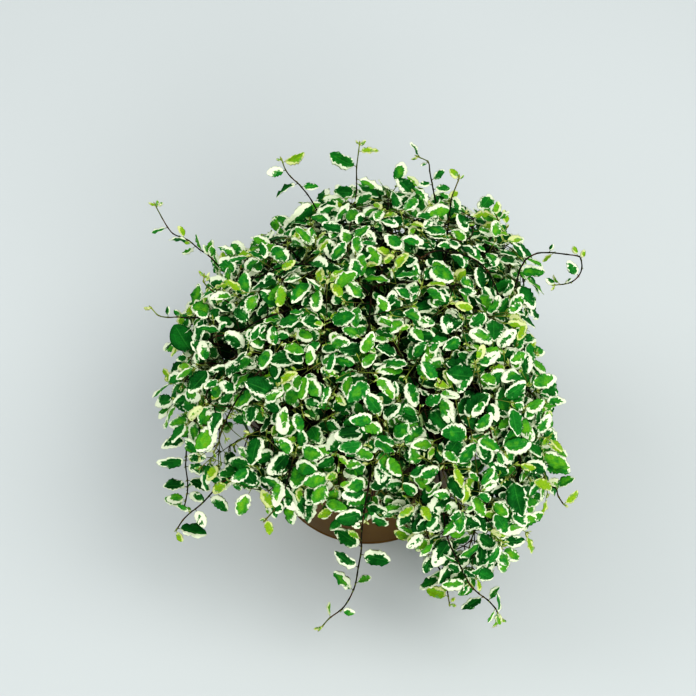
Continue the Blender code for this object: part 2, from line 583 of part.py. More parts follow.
def grow_leaves(vines, rng):
    """A leaf at each node, on alternate sides, turned to the light, where there is room for it."""
    thicket = Thicket()
    for vine in vines:
        for a, b in zip(vine["pts"], vine["pts"][1:]):
            thicket.add(*stem_tube(a, b))
        vine["leaves"] = []
    # leaves of the long shoots
    for vine in vines:
        if not vine["spec"]:
            continue
        pts = vine["pts"]
        for i, (at, degrees, length, seen, tone) in zip(
                [i for i in range(len(pts)) if vine["marks"][i] is not None], sorted(vine["spec"])):
            for trial in range(24):
                leaf = Leaf()
                leaf.node, leaf.base, leaf.shoot = i, pts[i], None
                w = math.radians(degrees + rng.uniform(-1, 1) * 1.8 * trial)
                axis = FACE_RIGHT * math.cos(w) + FACE_UP * math.sin(w)
                t = tangent_at(pts, i)
                lift = (0.45, 0.80) if abs(axis.dot(t)) > 0.78 else (-0.12, 0.25 + 0.02 * trial)
                axis = (axis + FACE * rng.uniform(*lift)).normalized()
                full = length * (0.80 if tone == 3 else 0.65)
                roll = math.degrees(math.acos(max(0.40, min(1.0, 1.10 * seen / full)))) * rng.choice((-1, 1))
                roll = max(-68.0, min(68.0, roll + rng.uniform(-1, 1) * 2.0 * trial))
                face = (FACE - axis * FACE.dot(axis)).normalized()
                leaf.face = turned(face, axis, roll)
                leaf.axis = axis
                shrink = (1.10, 1.14, 1.14, 1.05)[tone] - 0.018 * trial
                leaf.length, leaf.width = length * shrink, full * shrink
                leaf.stalk = (1.5 + 0.03 * length) * (1 if tone != 3 else 2.0)
                leaf.tone = tone
                leaf.side = 1 if t.cross(leaf.face).dot(axis) > 0 else -1
                leaf.seed = rng.random()
                if abs(axis.dot(t)) > 0.86:
                    continue
                clear = leaf_clear(leaf, thicket)
                if clear:
                    thicket.add(*clear)
                    vine["leaves"].append(leaf)
                    break
    # all other leaves, from the tips of the vines inwards
    plain = plain_leaves(vines)
    jobs = []
    for k, vine in enumerate(vines):
        n = len(vine["pts"])
        have = {leaf.node for leaf in vine["leaves"]}
        first = rng.randint(0, 1)
        for i in range(1, n - 1):
            if i in have or (vine["spec"] and vine["place"][i] > 2.1):
                continue
            d, _n = canopy_depth(vine["pts"][i])
            if d < -34 and (i * 7 + k) % 3:
                continue
            jobs.append((n - 1 - i, rng.random(), k, i, 1 if (i + first) % 2 else -1, d))
    jobs.sort()
    for back, _r, k, i, side, d in jobs:
        vine = vines[k]
        pts = vine["pts"]
        if hides(pts[i], plain):
            continue
        t = tangent_at(pts, i)
        _d, n = canopy_depth(pts[i])
        young = max(0.0, 1.0 - back / 3.0) if not vine["spec"] else 0.0
        light = (n * 0.80 + UP * 0.45 + FACE * 0.15).normalized()
        leaf = make_leaf(pts[i], t, light, side, young, rng, thicket, 16)
        if leaf:
            leaf.node = i
            if d < -25:
                leaf.tone = 0
            vine["leaves"].append(leaf)
    for vine in vines:
        vine["leaves"].sort(key=lambda leaf: leaf.node)
    return thicket


def make_leaf(base, t, light, side, young, rng, thicket, trials, small=1.0):
    """Tries a few ways for a leaf to leave its node, and keeps the first that stands clear."""
    across = t.cross(light)
    if across.length < 0.2:
        across = t.cross(FACE_RIGHT)
    across = across.normalized() * side
    size = min(21.5, max(11.0, rng.gauss(16.3, 2.2))) * small
    ratio = rng.uniform(0.58, 0.68)
    for trial in range(trials):
        loose = trial / max(1.0, trials - 1.0)
        swing = math.radians(rng.uniform(48, 78) - 14 * young)
        lift = rng.uniform(-0.25, 0.35) + rng.uniform(-0.55, 0.65) * loose
        axis = (t * math.cos(swing) + across * math.sin(swing) + light * lift).normalized()
        if abs(axis.dot(t)) > 0.80:
            continue
        face = light - axis * light.dot(axis)
        if face.length < 0.2:
            continue
        face = turned(face.normalized(), axis, rng.gauss(0, 16) + rng.uniform(-42, 42) * loose)
        leaf = Leaf()
        leaf.base, leaf.axis, leaf.face, leaf.side = base, axis, face, side
        leaf.length = size * (1 - 0.22 * loose) * (1 - 0.48 * young)
        leaf.width = leaf.length * (ratio - 0.12 * young)
        leaf.stalk = 2.2 + 0.11 * leaf.length + rng.uniform(0, 1.0)
        leaf.tone = 2 if young > 0.6 else (1 if young > 0.2 or rng.random() < 0.42 else 0)
        leaf.seed = rng.random()
        leaf.node = 0
        leaf.shoot = None
        clear = leaf_clear(leaf, thicket)
        if clear:
            thicket.add(*clear)
            return leaf
    return None


def canopy_samples(count):
    """Points spread evenly over the dome and the skirt, each with its outward normal."""
    out = []
    for i in range(count):
        k = (i + 0.5) / count
        phi = math.degrees(i * 2.39996323)
        big, low = canopy_at(phi)
        phi = (phi + 180) % 360 - 180
        dome = 2 * math.pi * 120.0 * 105.0
        wall = 2 * math.pi * 148.0 * 42.0
        if k < dome / (dome + wall):
            t = k * (dome + wall) / dome
            slope = math.degrees(math.acos(1 - t))
            p = canopy_point(phi, slope, 0.0)
            _d, n = canopy_depth(p)
        else:
            t = (k - dome / (dome + wall)) * (dome + wall) / wall
            z = DOME_Z - (DOME_Z - low + 4) * t
            w = math.radians(phi)
            p = Vector((big * math.cos(w), big * math.sin(w), z))
            n = Vector((math.cos(w), math.sin(w), 0.0))
        out.append((p, n))
    return out


class Cover:
    """Where the canopy is covered by leaves already."""

    CELL = 16.0

    def __init__(self):
        self.cells = {}

    def key(self, p):
        return tuple(int(math.floor(c / self.CELL)) for c in p)

    def add(self, leaf):
        c = leaf.base + leaf.axis * (leaf.stalk + 0.5 * leaf.length)
        self.cells.setdefault(self.key(c), []).append((c, leaf.length))

    def layers(self, p, n, reach=1.0):
        total = 0.0
        k = self.key(p)
        for i in (-2, -1, 0, 1, 2):
            for j in (-2, -1, 0, 1, 2):
                for m in (-2, -1, 0, 1, 2):
                    for c, size in self.cells.get((k[0] + i, k[1] + j, k[2] + m), ()):
                        v = c - p
                        high = v.dot(n)
                        if -40 < high < 18 and (v - n * high).length < 0.40 * size * reach:
                            total += 1.0
        return total


def grow_shoots(vines, thicket, rng, samples, waves, most, cover=None, apart=0.42, size=1.0, hollows=()):
    """Short side shoots, sent from the nearest stem towards each thin place in the canopy.

    waves: leaves wanted over each place, and how deep below the surface the shoots of that wave end.
    apart: cosine of the least angle around the stem between two things that leave it at one node.
    size: how large their leaves are, against the others.
    hollows: places left open, as centre and radius; given, the surface also rises and falls a little.
    """
    bearers = [(vine, vine) for vine in vines]
    if cover is None:
        cover = Cover()
        for vine in vines:
            vine["shoots"] = []
            vine["taken"] = {}
            for leaf in vine["leaves"]:
                cover.add(leaf)
                vine["taken"].setdefault(leaf.node, []).append(leaf.axis)
    else:
        bearers += [(vine, shoot) for vine in vines for shoot in vine["shoots"]]
    nodes = {}
    for k, (_vine, stem) in enumerate(bearers):
        for i in range(1, len(stem["pts"]) - 1):
            if stem.get("spec") and stem["place"][i] > 2.6:
                continue
            p = stem["pts"][i]
            nodes.setdefault(tuple(int(math.floor(c / 20.0)) for c in p), []).append((k, i))
    plain = plain_leaves(vines)
    grown = 0
    for want, deep, high in waves:
        order = list(range(len(samples)))
        rng.shuffle(order)
        for s in order:
            if grown >= most:
                break
            p, n = samples[s]
            if cover.layers(p, n) >= want or any((p - Vector(h[:3])).length < h[3] for h in hollows):
                continue
            goal = p + n * rng.uniform(deep, high)
            if hollows:
                goal += n * (5.0 * math.sin(p.x / 11.0 + 1.3) * math.sin(p.y / 13.0) * math.cos(p.z / 12.0) + (7.0 if rng.random() < 0.12 else 0.0))
            if hides(goal, plain):
                continue
            key = tuple(int(math.floor(c / 20.0)) for c in goal)
            near = []
            for i in (-2, -1, 0, 1, 2):
                for j in (-2, -1, 0, 1, 2):
                    for m in (-2, -1, 0, 1, 2):
                        for k, node in nodes.get((key[0] + i, key[1] + j, key[2] + m), ()):
                            d = (bearers[k][1]["pts"][node] - goal).length
                            if 7 < d < 42:
                                near.append((d + rng.uniform(0, 8), k, node))
            near.sort()
            for _d, k, node in near[:8]:
                made = grow_shoot(*bearers[k], node, goal, n, rng, thicket, cover, apart, size, hollows)
                if made:
                    grown += made
                    break
    return grown, cover


def grow_shoot(vine, stem, node, goal, n, rng, thicket, cover, apart, size, hollows=()):
    """One side shoot with its leaves. Returns how many leaves it bears."""
    start = stem["pts"][node]
    t = tangent_at(stem["pts"], node)
    span = goal - start
    first = (span.normalized() + n * 0.55 + t * 0.25).normalized()
    if abs(first.dot(t)) > 0.90:
        return 0
    way = (first - t * first.dot(t)).normalized()
    for other in stem["taken"].get(node, ()):
        other = other - t * other.dot(t)
        if other.length > 1e-6 and way.dot(other.normalized()) > apart:
            return 0
    start = start + way * 0.3
    count = max(2, int(round(span.length / 8.5)) + 1)
    mid = start + first * (0.45 * span.length)
    end = goal + n * rng.uniform(-2, 5) + span.normalized() * rng.uniform(2, 7)
    pts = []
    for i in range(count + 1):
        u = i / count
        pts.append(start * (1 - u) ** 2 + mid * (2 * u * (1 - u)) + end * (u * u))
    tubes = []
    for i, (a, b) in enumerate(zip(pts, pts[1:])):
        a2 = a.lerp(b, 0.3) if i == 0 else a
        if in_pot(b, 2.0) or in_pot((a + b) * 0.5, 1.6):
            return 0
        if thicket.hits(*stem_tube(a2, b, 1.0)):
            return 0
        tubes.append(stem_tube(a2, b, 0.9))
    side = rng.choice((-1, 1))
    light = (n * 0.80 + UP * 0.45 + FACE * 0.15).normalized()
    pending = []
    for i in range(1, count + 1):
        back = count - i
        young = (0.8, 0.3, 0.1)[back] if back < 3 else 0.0
        young *= rng.uniform(0.3, 1.0)
        side = -side
        at = pts[i] if i < count else pts[i] - (pts[i] - pts[i - 1]) * 0.12
        if any((at - Vector(h[:3])).length < h[3] for h in hollows):
            continue
        leaf = make_leaf(at, tangent_at(pts, i), light, side, young, rng, thicket, 12, size * rng.uniform(0.86, 1.08))
        if leaf:
            leaf.node = i
            pending.append(leaf)
            cover.add(leaf)
    if not pending:
        return 0
    for tube in tubes:
        thicket.add(*tube)
    taken = {}
    for leaf in pending:
        taken.setdefault(leaf.node, []).append(leaf.axis)
    vine["shoots"].append({"pts": pts, "leaves": pending, "node": node, "way": way, "taken": taken})
    stem["taken"].setdefault(node, []).append(way)
    return len(pending)


# Openings between the leaves: the two ends of their axis, and their radius. Four go through the skirt, and the
# last is a hollow in front of a leaf without cream.
GAPS = (
    ((-105.0, -140.0, 209.6), (-122.3, -20.0, 45.3), 10.4),
    ((-92.4, -140.0, 222.9), (-107.3, -20.0, 61.1), 10.4),
    ((-81.3, -140.0, 235.9), (-94.0, -20.0, 76.6), 9.4),
    ((-90.8, -140.0, 251.8), (-105.3, -20.0, 95.6), 7.5),
    ((-105.3, -15.3, 166.6), (-99.7, -66.5, 227.8), 10.0),
)


def in_gap(leaf):
    c = leaf.base + leaf.axis * (leaf.stalk + 0.5 * leaf.length)
    for a, b, radius in GAPS:
        way = Vector(b) - Vector(a)
        v = c - Vector(a)
        along = v.dot(way) / way.length
        if 0 < along < way.length and (v - way * (along / way.length)).length < radius:
            return True
    return False


def open_gaps(vines, keep_twigs=False):
    """Takes the leaves out of the openings, and the side shoots that would be bare."""
    for vine in vines:
        if vine["spec"]:
            continue
        vine["leaves"] = [leaf for leaf in vine["leaves"] if not in_gap(leaf)]
        for shoot in vine["shoots"]:
            shoot["leaves"] = [leaf for leaf in shoot["leaves"] if not in_gap(leaf)]
        if not keep_twigs:
            vine["shoots"] = [shoot for shoot in vine["shoots"] if shoot["leaves"]]


# ------------------------------------------------------------------
# Solids, in metres
# ------------------------------------------------------------------
POT_STEPS = 48         # flats around the pot
SOIL_STEPS = 36        # flats around the soil
FLOOR = 3.0            # thickness of the pot's floor
DRAIN_R = 4.0          # radius of a drainage hole
DRAIN_RING = 50.0      # distance of the drainage holes from the middle
DRAINS = 8
GAP = 0.3              # clearance between pieces that touch
SIDE_R = 0.55          # radius of a side shoot where it leaves its stem
FILL = 40              # vines that fill the dome, besides the long shoots
SAMPLES = 2600         # places in the canopy that are looked at for gaps
FIRST_WAVE = [(1, -9, 3)]      # leaves wanted over each place, and how deep the side shoots end
FIRST_MOST = 480       # leaves on side shoots

for old in list(bpy.data.objects):
    bpy.data.objects.remove(old, do_unlink=True)

model = bpy.data.collections.new("potted_creeping_fig")
cutters = bpy.data.collections.new("cutters")
bpy.context.scene.collection.children.link(model)
bpy.context.scene.collection.children.link(cutters)


def material(name, rgb, roughness):
    m = bpy.data.materials.new(name)
    m.use_nodes = True
    shader = m.node_tree.nodes["Principled BSDF"]
    shader.inputs["Base Color"].default_value = (*rgb, 1.0)
    shader.inputs["Roughness"].default_value = roughness
    shader.inputs["Metallic"].default_value = 0.0
    m.diffuse_color = (*rgb, 1.0)
    return m


PLASTIC = material("pot_brown_plastic", (0.072, 0.041, 0.018), 0.42)
EARTH = material("potting_mix", (0.030, 0.020, 0.013), 0.95)
LEAF = material("fig_foliage", (0.060, 0.235, 0.050), 0.45)
SPRIG = material("fig_foliage_young", (0.230, 0.380, 0.070), 0.45)


def turned_solid(name, profile, steps, mat):
    """A profile (radius, height) in millimetres, from the axis round to the axis, turned about Z."""
    mesh = bpy.data.meshes.new(name)
    verts = [(r * MM, 0.0, z * MM) for r, z in profile]
    mesh.from_pydata(verts, [(i, i + 1) for i in range(len(verts) - 1)], [])
    obj = bpy.data.objects.new(name, mesh)
    model.objects.link(obj)
    turn = obj.modifiers.new("turn", "SCREW")
    turn.axis = "Z"
    turn.angle = 2 * math.pi
    turn.steps = steps
    turn.render_steps = steps
    turn.use_merge_vertices = True
    turn.merge_threshold = 0.00005
    turn.use_smooth_shade = True
    mesh.materials.append(mat)
    return obj


def pot_profile():
    """The pot's section from the middle of its top surface inside, over the rim, to the middle of its underside."""
    shoulder = POT_H - COLLAR_H
    wall_top = RIM_R - 4.0
    inner_foot = BASE_R - WALL - 0.6
    inner_top = wall_top - WALL
    lip = 1.4
    points = [(0.0, FLOOR), (inner_foot - 4.0, FLOOR), (inner_foot, FLOOR + 3.5)]
    points += [(inner_top, shoulder), (RIM_R - WALL - 0.6, shoulder + 2.4)]
    points.append((RIM_R - WALL - 0.4, POT_H - lip))
    for k in range(1, 4):
        w = math.pi * k / 4
        points.append((RIM_R - 1.3 - 1.3 * math.cos(w), POT_H - lip + lip * math.sin(w)))
    points += [(RIM_R, POT_H - lip), (RIM_R - 0.5, shoulder + 1.0), (RIM_R - 1.2, shoulder), (wall_top, shoulder - 0.6)]
    points += [(BASE_R + 0.5, 4.0), (BASE_R - 0.6, 1.2), (BASE_R - 2.2, 0.0), (0.0, 0.0)]
    return points


pot = turned_solid("pot", pot_profile(), POT_STEPS, PLASTIC)
for k in range(DRAINS):
    w = 2 * math.pi * (k + 0.5) / DRAINS
    bpy.ops.mesh.primitive_cylinder_add(
        vertices=12, radius=DRAIN_R * MM, depth=12 * MM,
        location=(DRAIN_RING * MM * math.cos(w), DRAIN_RING * MM * math.sin(w), 2 * MM))
    drill = bpy.context.active_object
    drill.name = "drain_cutter_%d" % (k + 1)
    for c in list(drill.users_collection):
        c.objects.unlink(drill)
    cutters.objects.link(drill)
    drill.hide_render = True
    drill.display_type = "WIRE"
    cut = pot.modifiers.new("drain_%d" % (k + 1), "BOOLEAN")
    cut.operation = "DIFFERENCE"
    cut.solver = "EXACT"
    cut.object = drill


def inner_wall(z):
    """Inner radius of the pot below its collar."""
    shoulder = POT_H - COLLAR_H
    low, high = BASE_R - WALL - 0.6, RIM_R - 4.0 - WALL
    return low + (high - low) * (z - FLOOR - 3.5) / (shoulder - FLOOR - 3.5)


shoulder = POT_H - COLLAR_H
soil = turned_solid("soil", [
    (0.0, SOIL_Z), (40.0, SOIL_Z), (inner_wall(shoulder) - GAP * 2 - 1.0, SOIL_Z),
    (inner_wall(shoulder - 3.0) - GAP * 2 - 0.2, SOIL_Z - 4.0),
    (inner_wall(40.0) - GAP * 2 - 0.3, 40.0),
    (inner_wall(FLOOR + 4.0) - GAP * 2 - 0.6, FLOOR + 6.0),
    (BASE_R - WALL - 6.5, FLOOR + GAP), (0.0, FLOOR + GAP)], SOIL_STEPS, EARTH)


def stem_radius(i, count):
    """A stem thins towards its tip."""
    return STEM_R * (1.0 - 0.42 * i / max(1, count - 1))


def zip_rings(bm, low, high, low_angles, high_angles):
    """Joins two three-sided sections that may be turned against each other."""
    turn = 2 * math.pi
    j0 = min(range(3), key=lambda j: (abs((high_angles[j] - low_angles[0] + math.pi) % turn - math.pi), j))
    base = low_angles[0] + ((high_angles[j0] - low_angles[0] + math.pi) % turn - math.pi)
    low_at = [low_angles[0] + turn * k / 3 for k in range(4)]
    high_at = [base + turn * k / 3 for k in range(4)]
    i = j = 0
    faces = []
    while i < 3 or j < 3:
        if j >= 3 or (i < 3 and (low_at[i] + low_at[i + 1]) < (high_at[j] + high_at[j + 1])):
            faces.append(bm.faces.new((low[i % 3], low[(i + 1) % 3], high[(j0 + j) % 3])))
            i += 1
        else:
            faces.append(bm.faces.new((low[i % 3], high[(j0 + j + 1) % 3], high[(j0 + j) % 3])))
            j += 1
    return faces


def hull_faces(points, *open_ends):
    """The closed hull of a few points, without the faces named as open ends. None if one of those isn't a face of it."""
    shape = bmesh.new()
    verts = [shape.verts.new(p) for p in points]
    for n, v in enumerate(verts):
        v.index = n
    bmesh.ops.convex_hull(shape, input=verts)
    shape.faces.ensure_lookup_table()
    out = [tuple(v.index for v in f.verts) for f in shape.faces]
    shape.free()
    kept = [f for f in out if set(f) not in open_ends]
    if len(kept) != len(out) - len(open_ends) or {n for f in out for n in f} != set(range(len(points))):
        return None
    return kept


def open_face(bm, a, b, ahead):
    """Opens the face of the stem above the edge a-b and returns its lower part's third corner."""
    for face in a.link_faces:
        if b in face.verts:
            far = [v for v in face.verts if v not in (a, b)]
            if len(far) == 1 and far[0] in ahead:
                return face, far[0]
    return None, None


def grow_leaf(bm, a, b, ahead, leaf, t):
    """A leaf as a hull grown out of one small face of a stem that runs along t."""
    face, far = open_face(bm, a, b, ahead)
    if face is None:
        return
    middle = (a.co + b.co) * 0.5
    away = far.co - middle
    seat = middle + away * min(0.4, 1.5 * MM / away.length)
    axis, across = leaf.axis, leaf.face.cross(leaf.axis)
    out = (leaf.axis - t * leaf.axis.dot(t)).normalized()
    for push in range(8):
        belly = leaf.base + axis * (leaf.stalk + 0.44 * leaf.length) + out * (0.7 * push)
        corners = [a.co / MM, b.co / MM, seat / MM,
                   belly + across * (leaf.width * 0.5), belly - across * (leaf.width * 0.5),
                   leaf.base + axis * (leaf.stalk + leaf.length) + out * (0.7 * push)]
        hull = hull_faces(corners, {0, 1, 2})
        if hull:
            break
    if not hull:
        return
    rim = [a, b] + [bm.verts.new(q * MM) for q in corners[2:]]
    bm.faces.remove(face)
    bm.faces.new((b, far, rim[2]))
    bm.faces.new((far, a, rim[2]))
    for f in hull:
        bm.faces.new([rim[n] for n in f])


def section(bm, p, t, up, first, r, level):
    """Three corners around a stem at p. A level section is cut flat, as at the soil."""
    side = t.cross(up)
    ring = []
    for k in range(3):
        w = first + 2 * math.pi * k / 3
        q = p + (up * math.cos(w) + side * math.sin(w)) * r
        if level:
            q.z = p.z
        ring.append(bm.verts.new(q * MM))
    return ring


def facing_angle(way, t, up):
    way = way - t * way.dot(t)
    return math.atan2(way.dot(t.cross(up)), way.dot(up))


def grow_side_shoot(bm, a, b, ahead, shoot):
    """A side shoot: its first piece is a hull between a small face of the stem and the shoot's own first section."""
    face, far = open_face(bm, a, b, ahead)
    if face is None:
        return 0
    pts = shoot["pts"]
    leaves = {leaf.node: leaf for leaf in shoot["leaves"]}
    last = len(pts) - 1
    spots = [p for p in pts[1:last]] + [pts[last] - (pts[last] - pts[last - 1]) * 0.12]
    tip_at = pts[last] + (pts[last] - pts[last - 1]).normalized() * 0.6
    middle = (a.co + b.co) * 0.5
    away = far.co - middle
    seat = middle + away * min(0.45, 1.7 * MM / away.length)
    up = (pts[1] - pts[0]).normalized().orthogonal().normalized()
    rings, firsts = [], []
    facing = 0.0
    for j, p in enumerate(spots):
        t = tangent_at(pts, j + 1)
        up = (up - t * up.dot(t)).normalized()
        leaf = leaves.get(j + 1)
        facing = facing_angle(leaf.axis, t, up) if leaf else facing + math.pi
        firsts.append(facing - math.pi / 3)
        rings.append((p, t, up, firsts[-1], SIDE_R * (1.0 - 0.35 * j / last)))
    p, t, u, first, r = rings[0]
    side = t.cross(u)
    ring = [p + (u * math.cos(first + 2 * math.pi * k / 3) + side * math.sin(first + 2 * math.pi * k / 3)) * r for k in range(3)]
    hull = hull_faces([a.co / MM, b.co / MM, seat / MM] + ring, {0, 1, 2}, {3, 4, 5})
    if not hull:
        return 0
    loops = [section(bm, *spec, False) for spec in rings]
    rim = [a, b, bm.verts.new(seat)] + loops[0]
    bm.faces.remove(face)
    bm.faces.new((b, far, rim[2]))
    bm.faces.new((far, a, rim[2]))
    for f in hull:
        bm.faces.new([rim[n] for n in f])
    for j in range(len(loops) - 1):
        zip_rings(bm, loops[j], loops[j + 1], [firsts[j] + 2 * math.pi * k / 3 for k in range(3)],
                  [firsts[j + 1] + 2 * math.pi * k / 3 for k in range(3)])
    tip = bm.verts.new(tip_at * MM)
    end = loops[-1]
    for k in range(3):
        bm.faces.new((end[k], end[(k + 1) % 3], tip))
    for j in range(len(loops)):
        leaf = leaves.get(j + 1)
        if leaf:
            beyond = loops[j + 1] if j + 1 < len(loops) else [tip]
            grow_leaf(bm, loops[j][0], loops[j][1], beyond, leaf, rings[j][1])
    return len(leaves)


def vine_mesh(name, vine):
    """The stem as a loft of three-sided sections, with its leaves and its side shoots."""
    pts = vine["pts"]
    leaves = {leaf.node: leaf for leaf in vine["leaves"]}
    shoots = {}
    for shoot in vine["shoots"]:
        shoots.setdefault(shoot["node"], []).append(shoot)
    count = len(pts)
    bm = bmesh.new()
    up = Vector((1.0, 0.0, 0.0))
    rings, frames, ways = [], [], []
    facing = 0.0
    for i in range(count - 1):
        t = (pts[1] - pts[0]).normalized() if i == 0 else tangent_at(pts, i)
        up = (up - t * up.dot(t)).normalized()
        if i in leaves:
            facing = facing_angle(leaves[i].axis, t, up)
        elif i in shoots:
            facing = facing_angle(shoots[i][0]["way"], t, up)
        else:
            facing += math.pi
        first = facing - math.pi / 3
        rings.append(section(bm, pts[i], t, up, first, stem_radius(i, count), i == 0))
        frames.append(first)
        ways.append((t, up.copy(), facing))
    tip = bm.verts.new(pts[-1] * MM)
    bm.faces.new((rings[0][2], rings[0][1], rings[0][0]))
    for i in range(count - 2):
        zip_rings(bm, rings[i], rings[i + 1], [frames[i] + 2 * math.pi * k / 3 for k in range(3)],
                  [frames[i + 1] + 2 * math.pi * k / 3 for k in range(3)])
    for k in range(3):
        bm.faces.new((rings[-1][k], rings[-1][(k + 1) % 3], tip))
    for i in range(1, count - 1):
        ahead = rings[i + 1] if i + 1 < len(rings) else [tip]
        t, u, facing = ways[i]
        used = set()
        if i in leaves:
            grow_leaf(bm, rings[i][0], rings[i][1], ahead, leaves[i], t)
            used.add(0)
        for shoot in shoots.get(i, ()):
            turn = facing_angle(shoot["way"], t, u) - facing
            edge = int(round(turn / (2 * math.pi / 3))) % 3
            if edge not in used:
                used.add(edge)
                grow_side_shoot(bm, rings[i][edge], rings[i][(edge + 1) % 3], ahead, shoot)
    bmesh.ops.recalc_face_normals(bm, faces=bm.faces)
    mesh = bpy.data.meshes.new(name)
    bm.to_mesh(mesh)
    bm.free()
    return mesh


growth = random.Random(SEED)
vines, _room = grow_stems(FILL, growth)
thicket = grow_leaves(vines, growth)
grow_shoots(vines, thicket, random.Random(SEED + 7), canopy_samples(SAMPLES), FIRST_WAVE, FIRST_MOST)
open_gaps(vines)
for k, vine in enumerate(vines):
    name = "vine_%02d" % (k + 1)
    obj = bpy.data.objects.new(name, vine_mesh(name, vine))
    obj.data.materials.append(SPRIG if vine["spec"] else LEAF)
    model.objects.link(obj)
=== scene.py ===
"""Potted creeping fig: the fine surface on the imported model, with a plain studio set."""
import math
import random

import bmesh
import bpy
import numpy as np
from mathutils import Matrix, Vector
from mathutils.bvhtree import BVHTree


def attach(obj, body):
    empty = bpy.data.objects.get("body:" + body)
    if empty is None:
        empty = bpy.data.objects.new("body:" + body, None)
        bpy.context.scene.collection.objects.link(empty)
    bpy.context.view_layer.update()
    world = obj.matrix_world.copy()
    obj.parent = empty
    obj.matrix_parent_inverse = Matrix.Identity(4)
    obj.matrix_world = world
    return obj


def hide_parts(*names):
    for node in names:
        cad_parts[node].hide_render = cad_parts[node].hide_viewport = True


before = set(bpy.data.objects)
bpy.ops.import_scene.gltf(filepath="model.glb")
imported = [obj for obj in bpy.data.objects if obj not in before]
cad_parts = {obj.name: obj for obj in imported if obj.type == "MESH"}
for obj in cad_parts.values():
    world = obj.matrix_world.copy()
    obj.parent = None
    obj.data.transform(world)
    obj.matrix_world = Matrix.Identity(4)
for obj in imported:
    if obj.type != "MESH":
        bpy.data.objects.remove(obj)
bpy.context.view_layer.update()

MM = 0.001
SCENE = bpy.context.scene

FILL = 40              # vines that fill the dome, besides the long shoots
SAMPLES = 2600         # places in the canopy that are looked at for gaps
FIRST_WAVE = [(1, -9, 3)]      # leaves wanted over each place, and how deep the side shoots end
FIRST_MOST = 480       # leaves on the first side shoots
WAVES = [(1, -9, 3), (1, -15, 1), (2, -16, 2), (3, -18, -2)]
MOST = 1850            # leaves on the later side shoots
INNER = [(3, -36, -20)]        # a last look for thin places, filled well below the surface
MOST_INNER = 260
APART = 0.85
LARGE = 1.20            # size of the leaves on the later side shoots
# places in the canopy that stay open: centre and radius
HOLLOWS = [(3, 0, 232, 10), (-70, -12, 219, 9), (-24, -32, 228, 9), (39, -26, 227, 8.5), (30, -50, 225, 8.5), (77, -57, 210, 9.5),
           (-106, -89, 161, 10), (9, -125, 117, 14), (-33, -122, 125, 10), (-28, -114, 171, 8), (-48, -117, 160, 8),
           (-108, -71, 124, 13), (-117, -80, 123, 11), (-98, -67, 133, 10), (-108, -58, 108, 12)]
# ------------------------------------------------------------------
# Growth of the fig, in millimetres.
# A vine is a list of nodes. Each node may carry one leaf, on alternate sides.
# The canopy is a low dome that spills over the pot's rim as a skirt.
# ------------------------------------------------------------------
POT_H = 137.0          # height of the pot
RIM_R = 100.0          # outer radius of the pot's collar
BASE_R = 73.0          # outer radius of the pot's foot
WALL = 2.2             # wall of the pot
COLLAR_H = 19.0        # height of the collar
SOIL_Z = 119.0         # level of the soil, below the rim
SOIL_R = 92.0          # radius of the soil at its surface
STEM_R = 0.8           # radius of a stem
CROWN_Z = 232.0        # top of the canopy
DOME_Z = 138.0         # level where the dome becomes the skirt
STEP = 11.6            # distance between two leaf nodes
SEED = 51

# canopy: azimuth in degrees (-90 is the front), radius, lowest level of the skirt
CANOPY = [(-180, 135, 106), (-165, 138, 128), (-150, 138, 137), (-135, 140, 136), (-120, 133, 129), (-105, 125, 128),
          (-93, 119, 128), (-84, 120, 122), (-75, 138, 92), (-65, 155, 60), (-58, 158, 61), (-50, 155, 76), (-42, 156, 79),
          (-30, 142, 93), (-22, 129, 104), (-15, 127, 106), (0, 114, 104), (10, 107, 100), (20, 115, 98), (30, 139, 92),
          (45, 155, 90), (60, 154, 86), (75, 148, 84), (90, 141, 82), (105, 133, 83), (120, 126, 84), (135, 124, 88),
          (150, 127, 92), (165, 130, 98), (180, 135, 106)]

LEAN = math.radians(50.0)
FACE = Vector((0.0, -math.cos(LEAN), math.sin(LEAN)))   # front and up
FACE_UP = Vector((0.0, math.sin(LEAN), math.cos(LEAN)))
FACE_RIGHT = Vector((1.0, 0.0, 0.0))
UP = Vector((0.0, 0.0, 1.0))

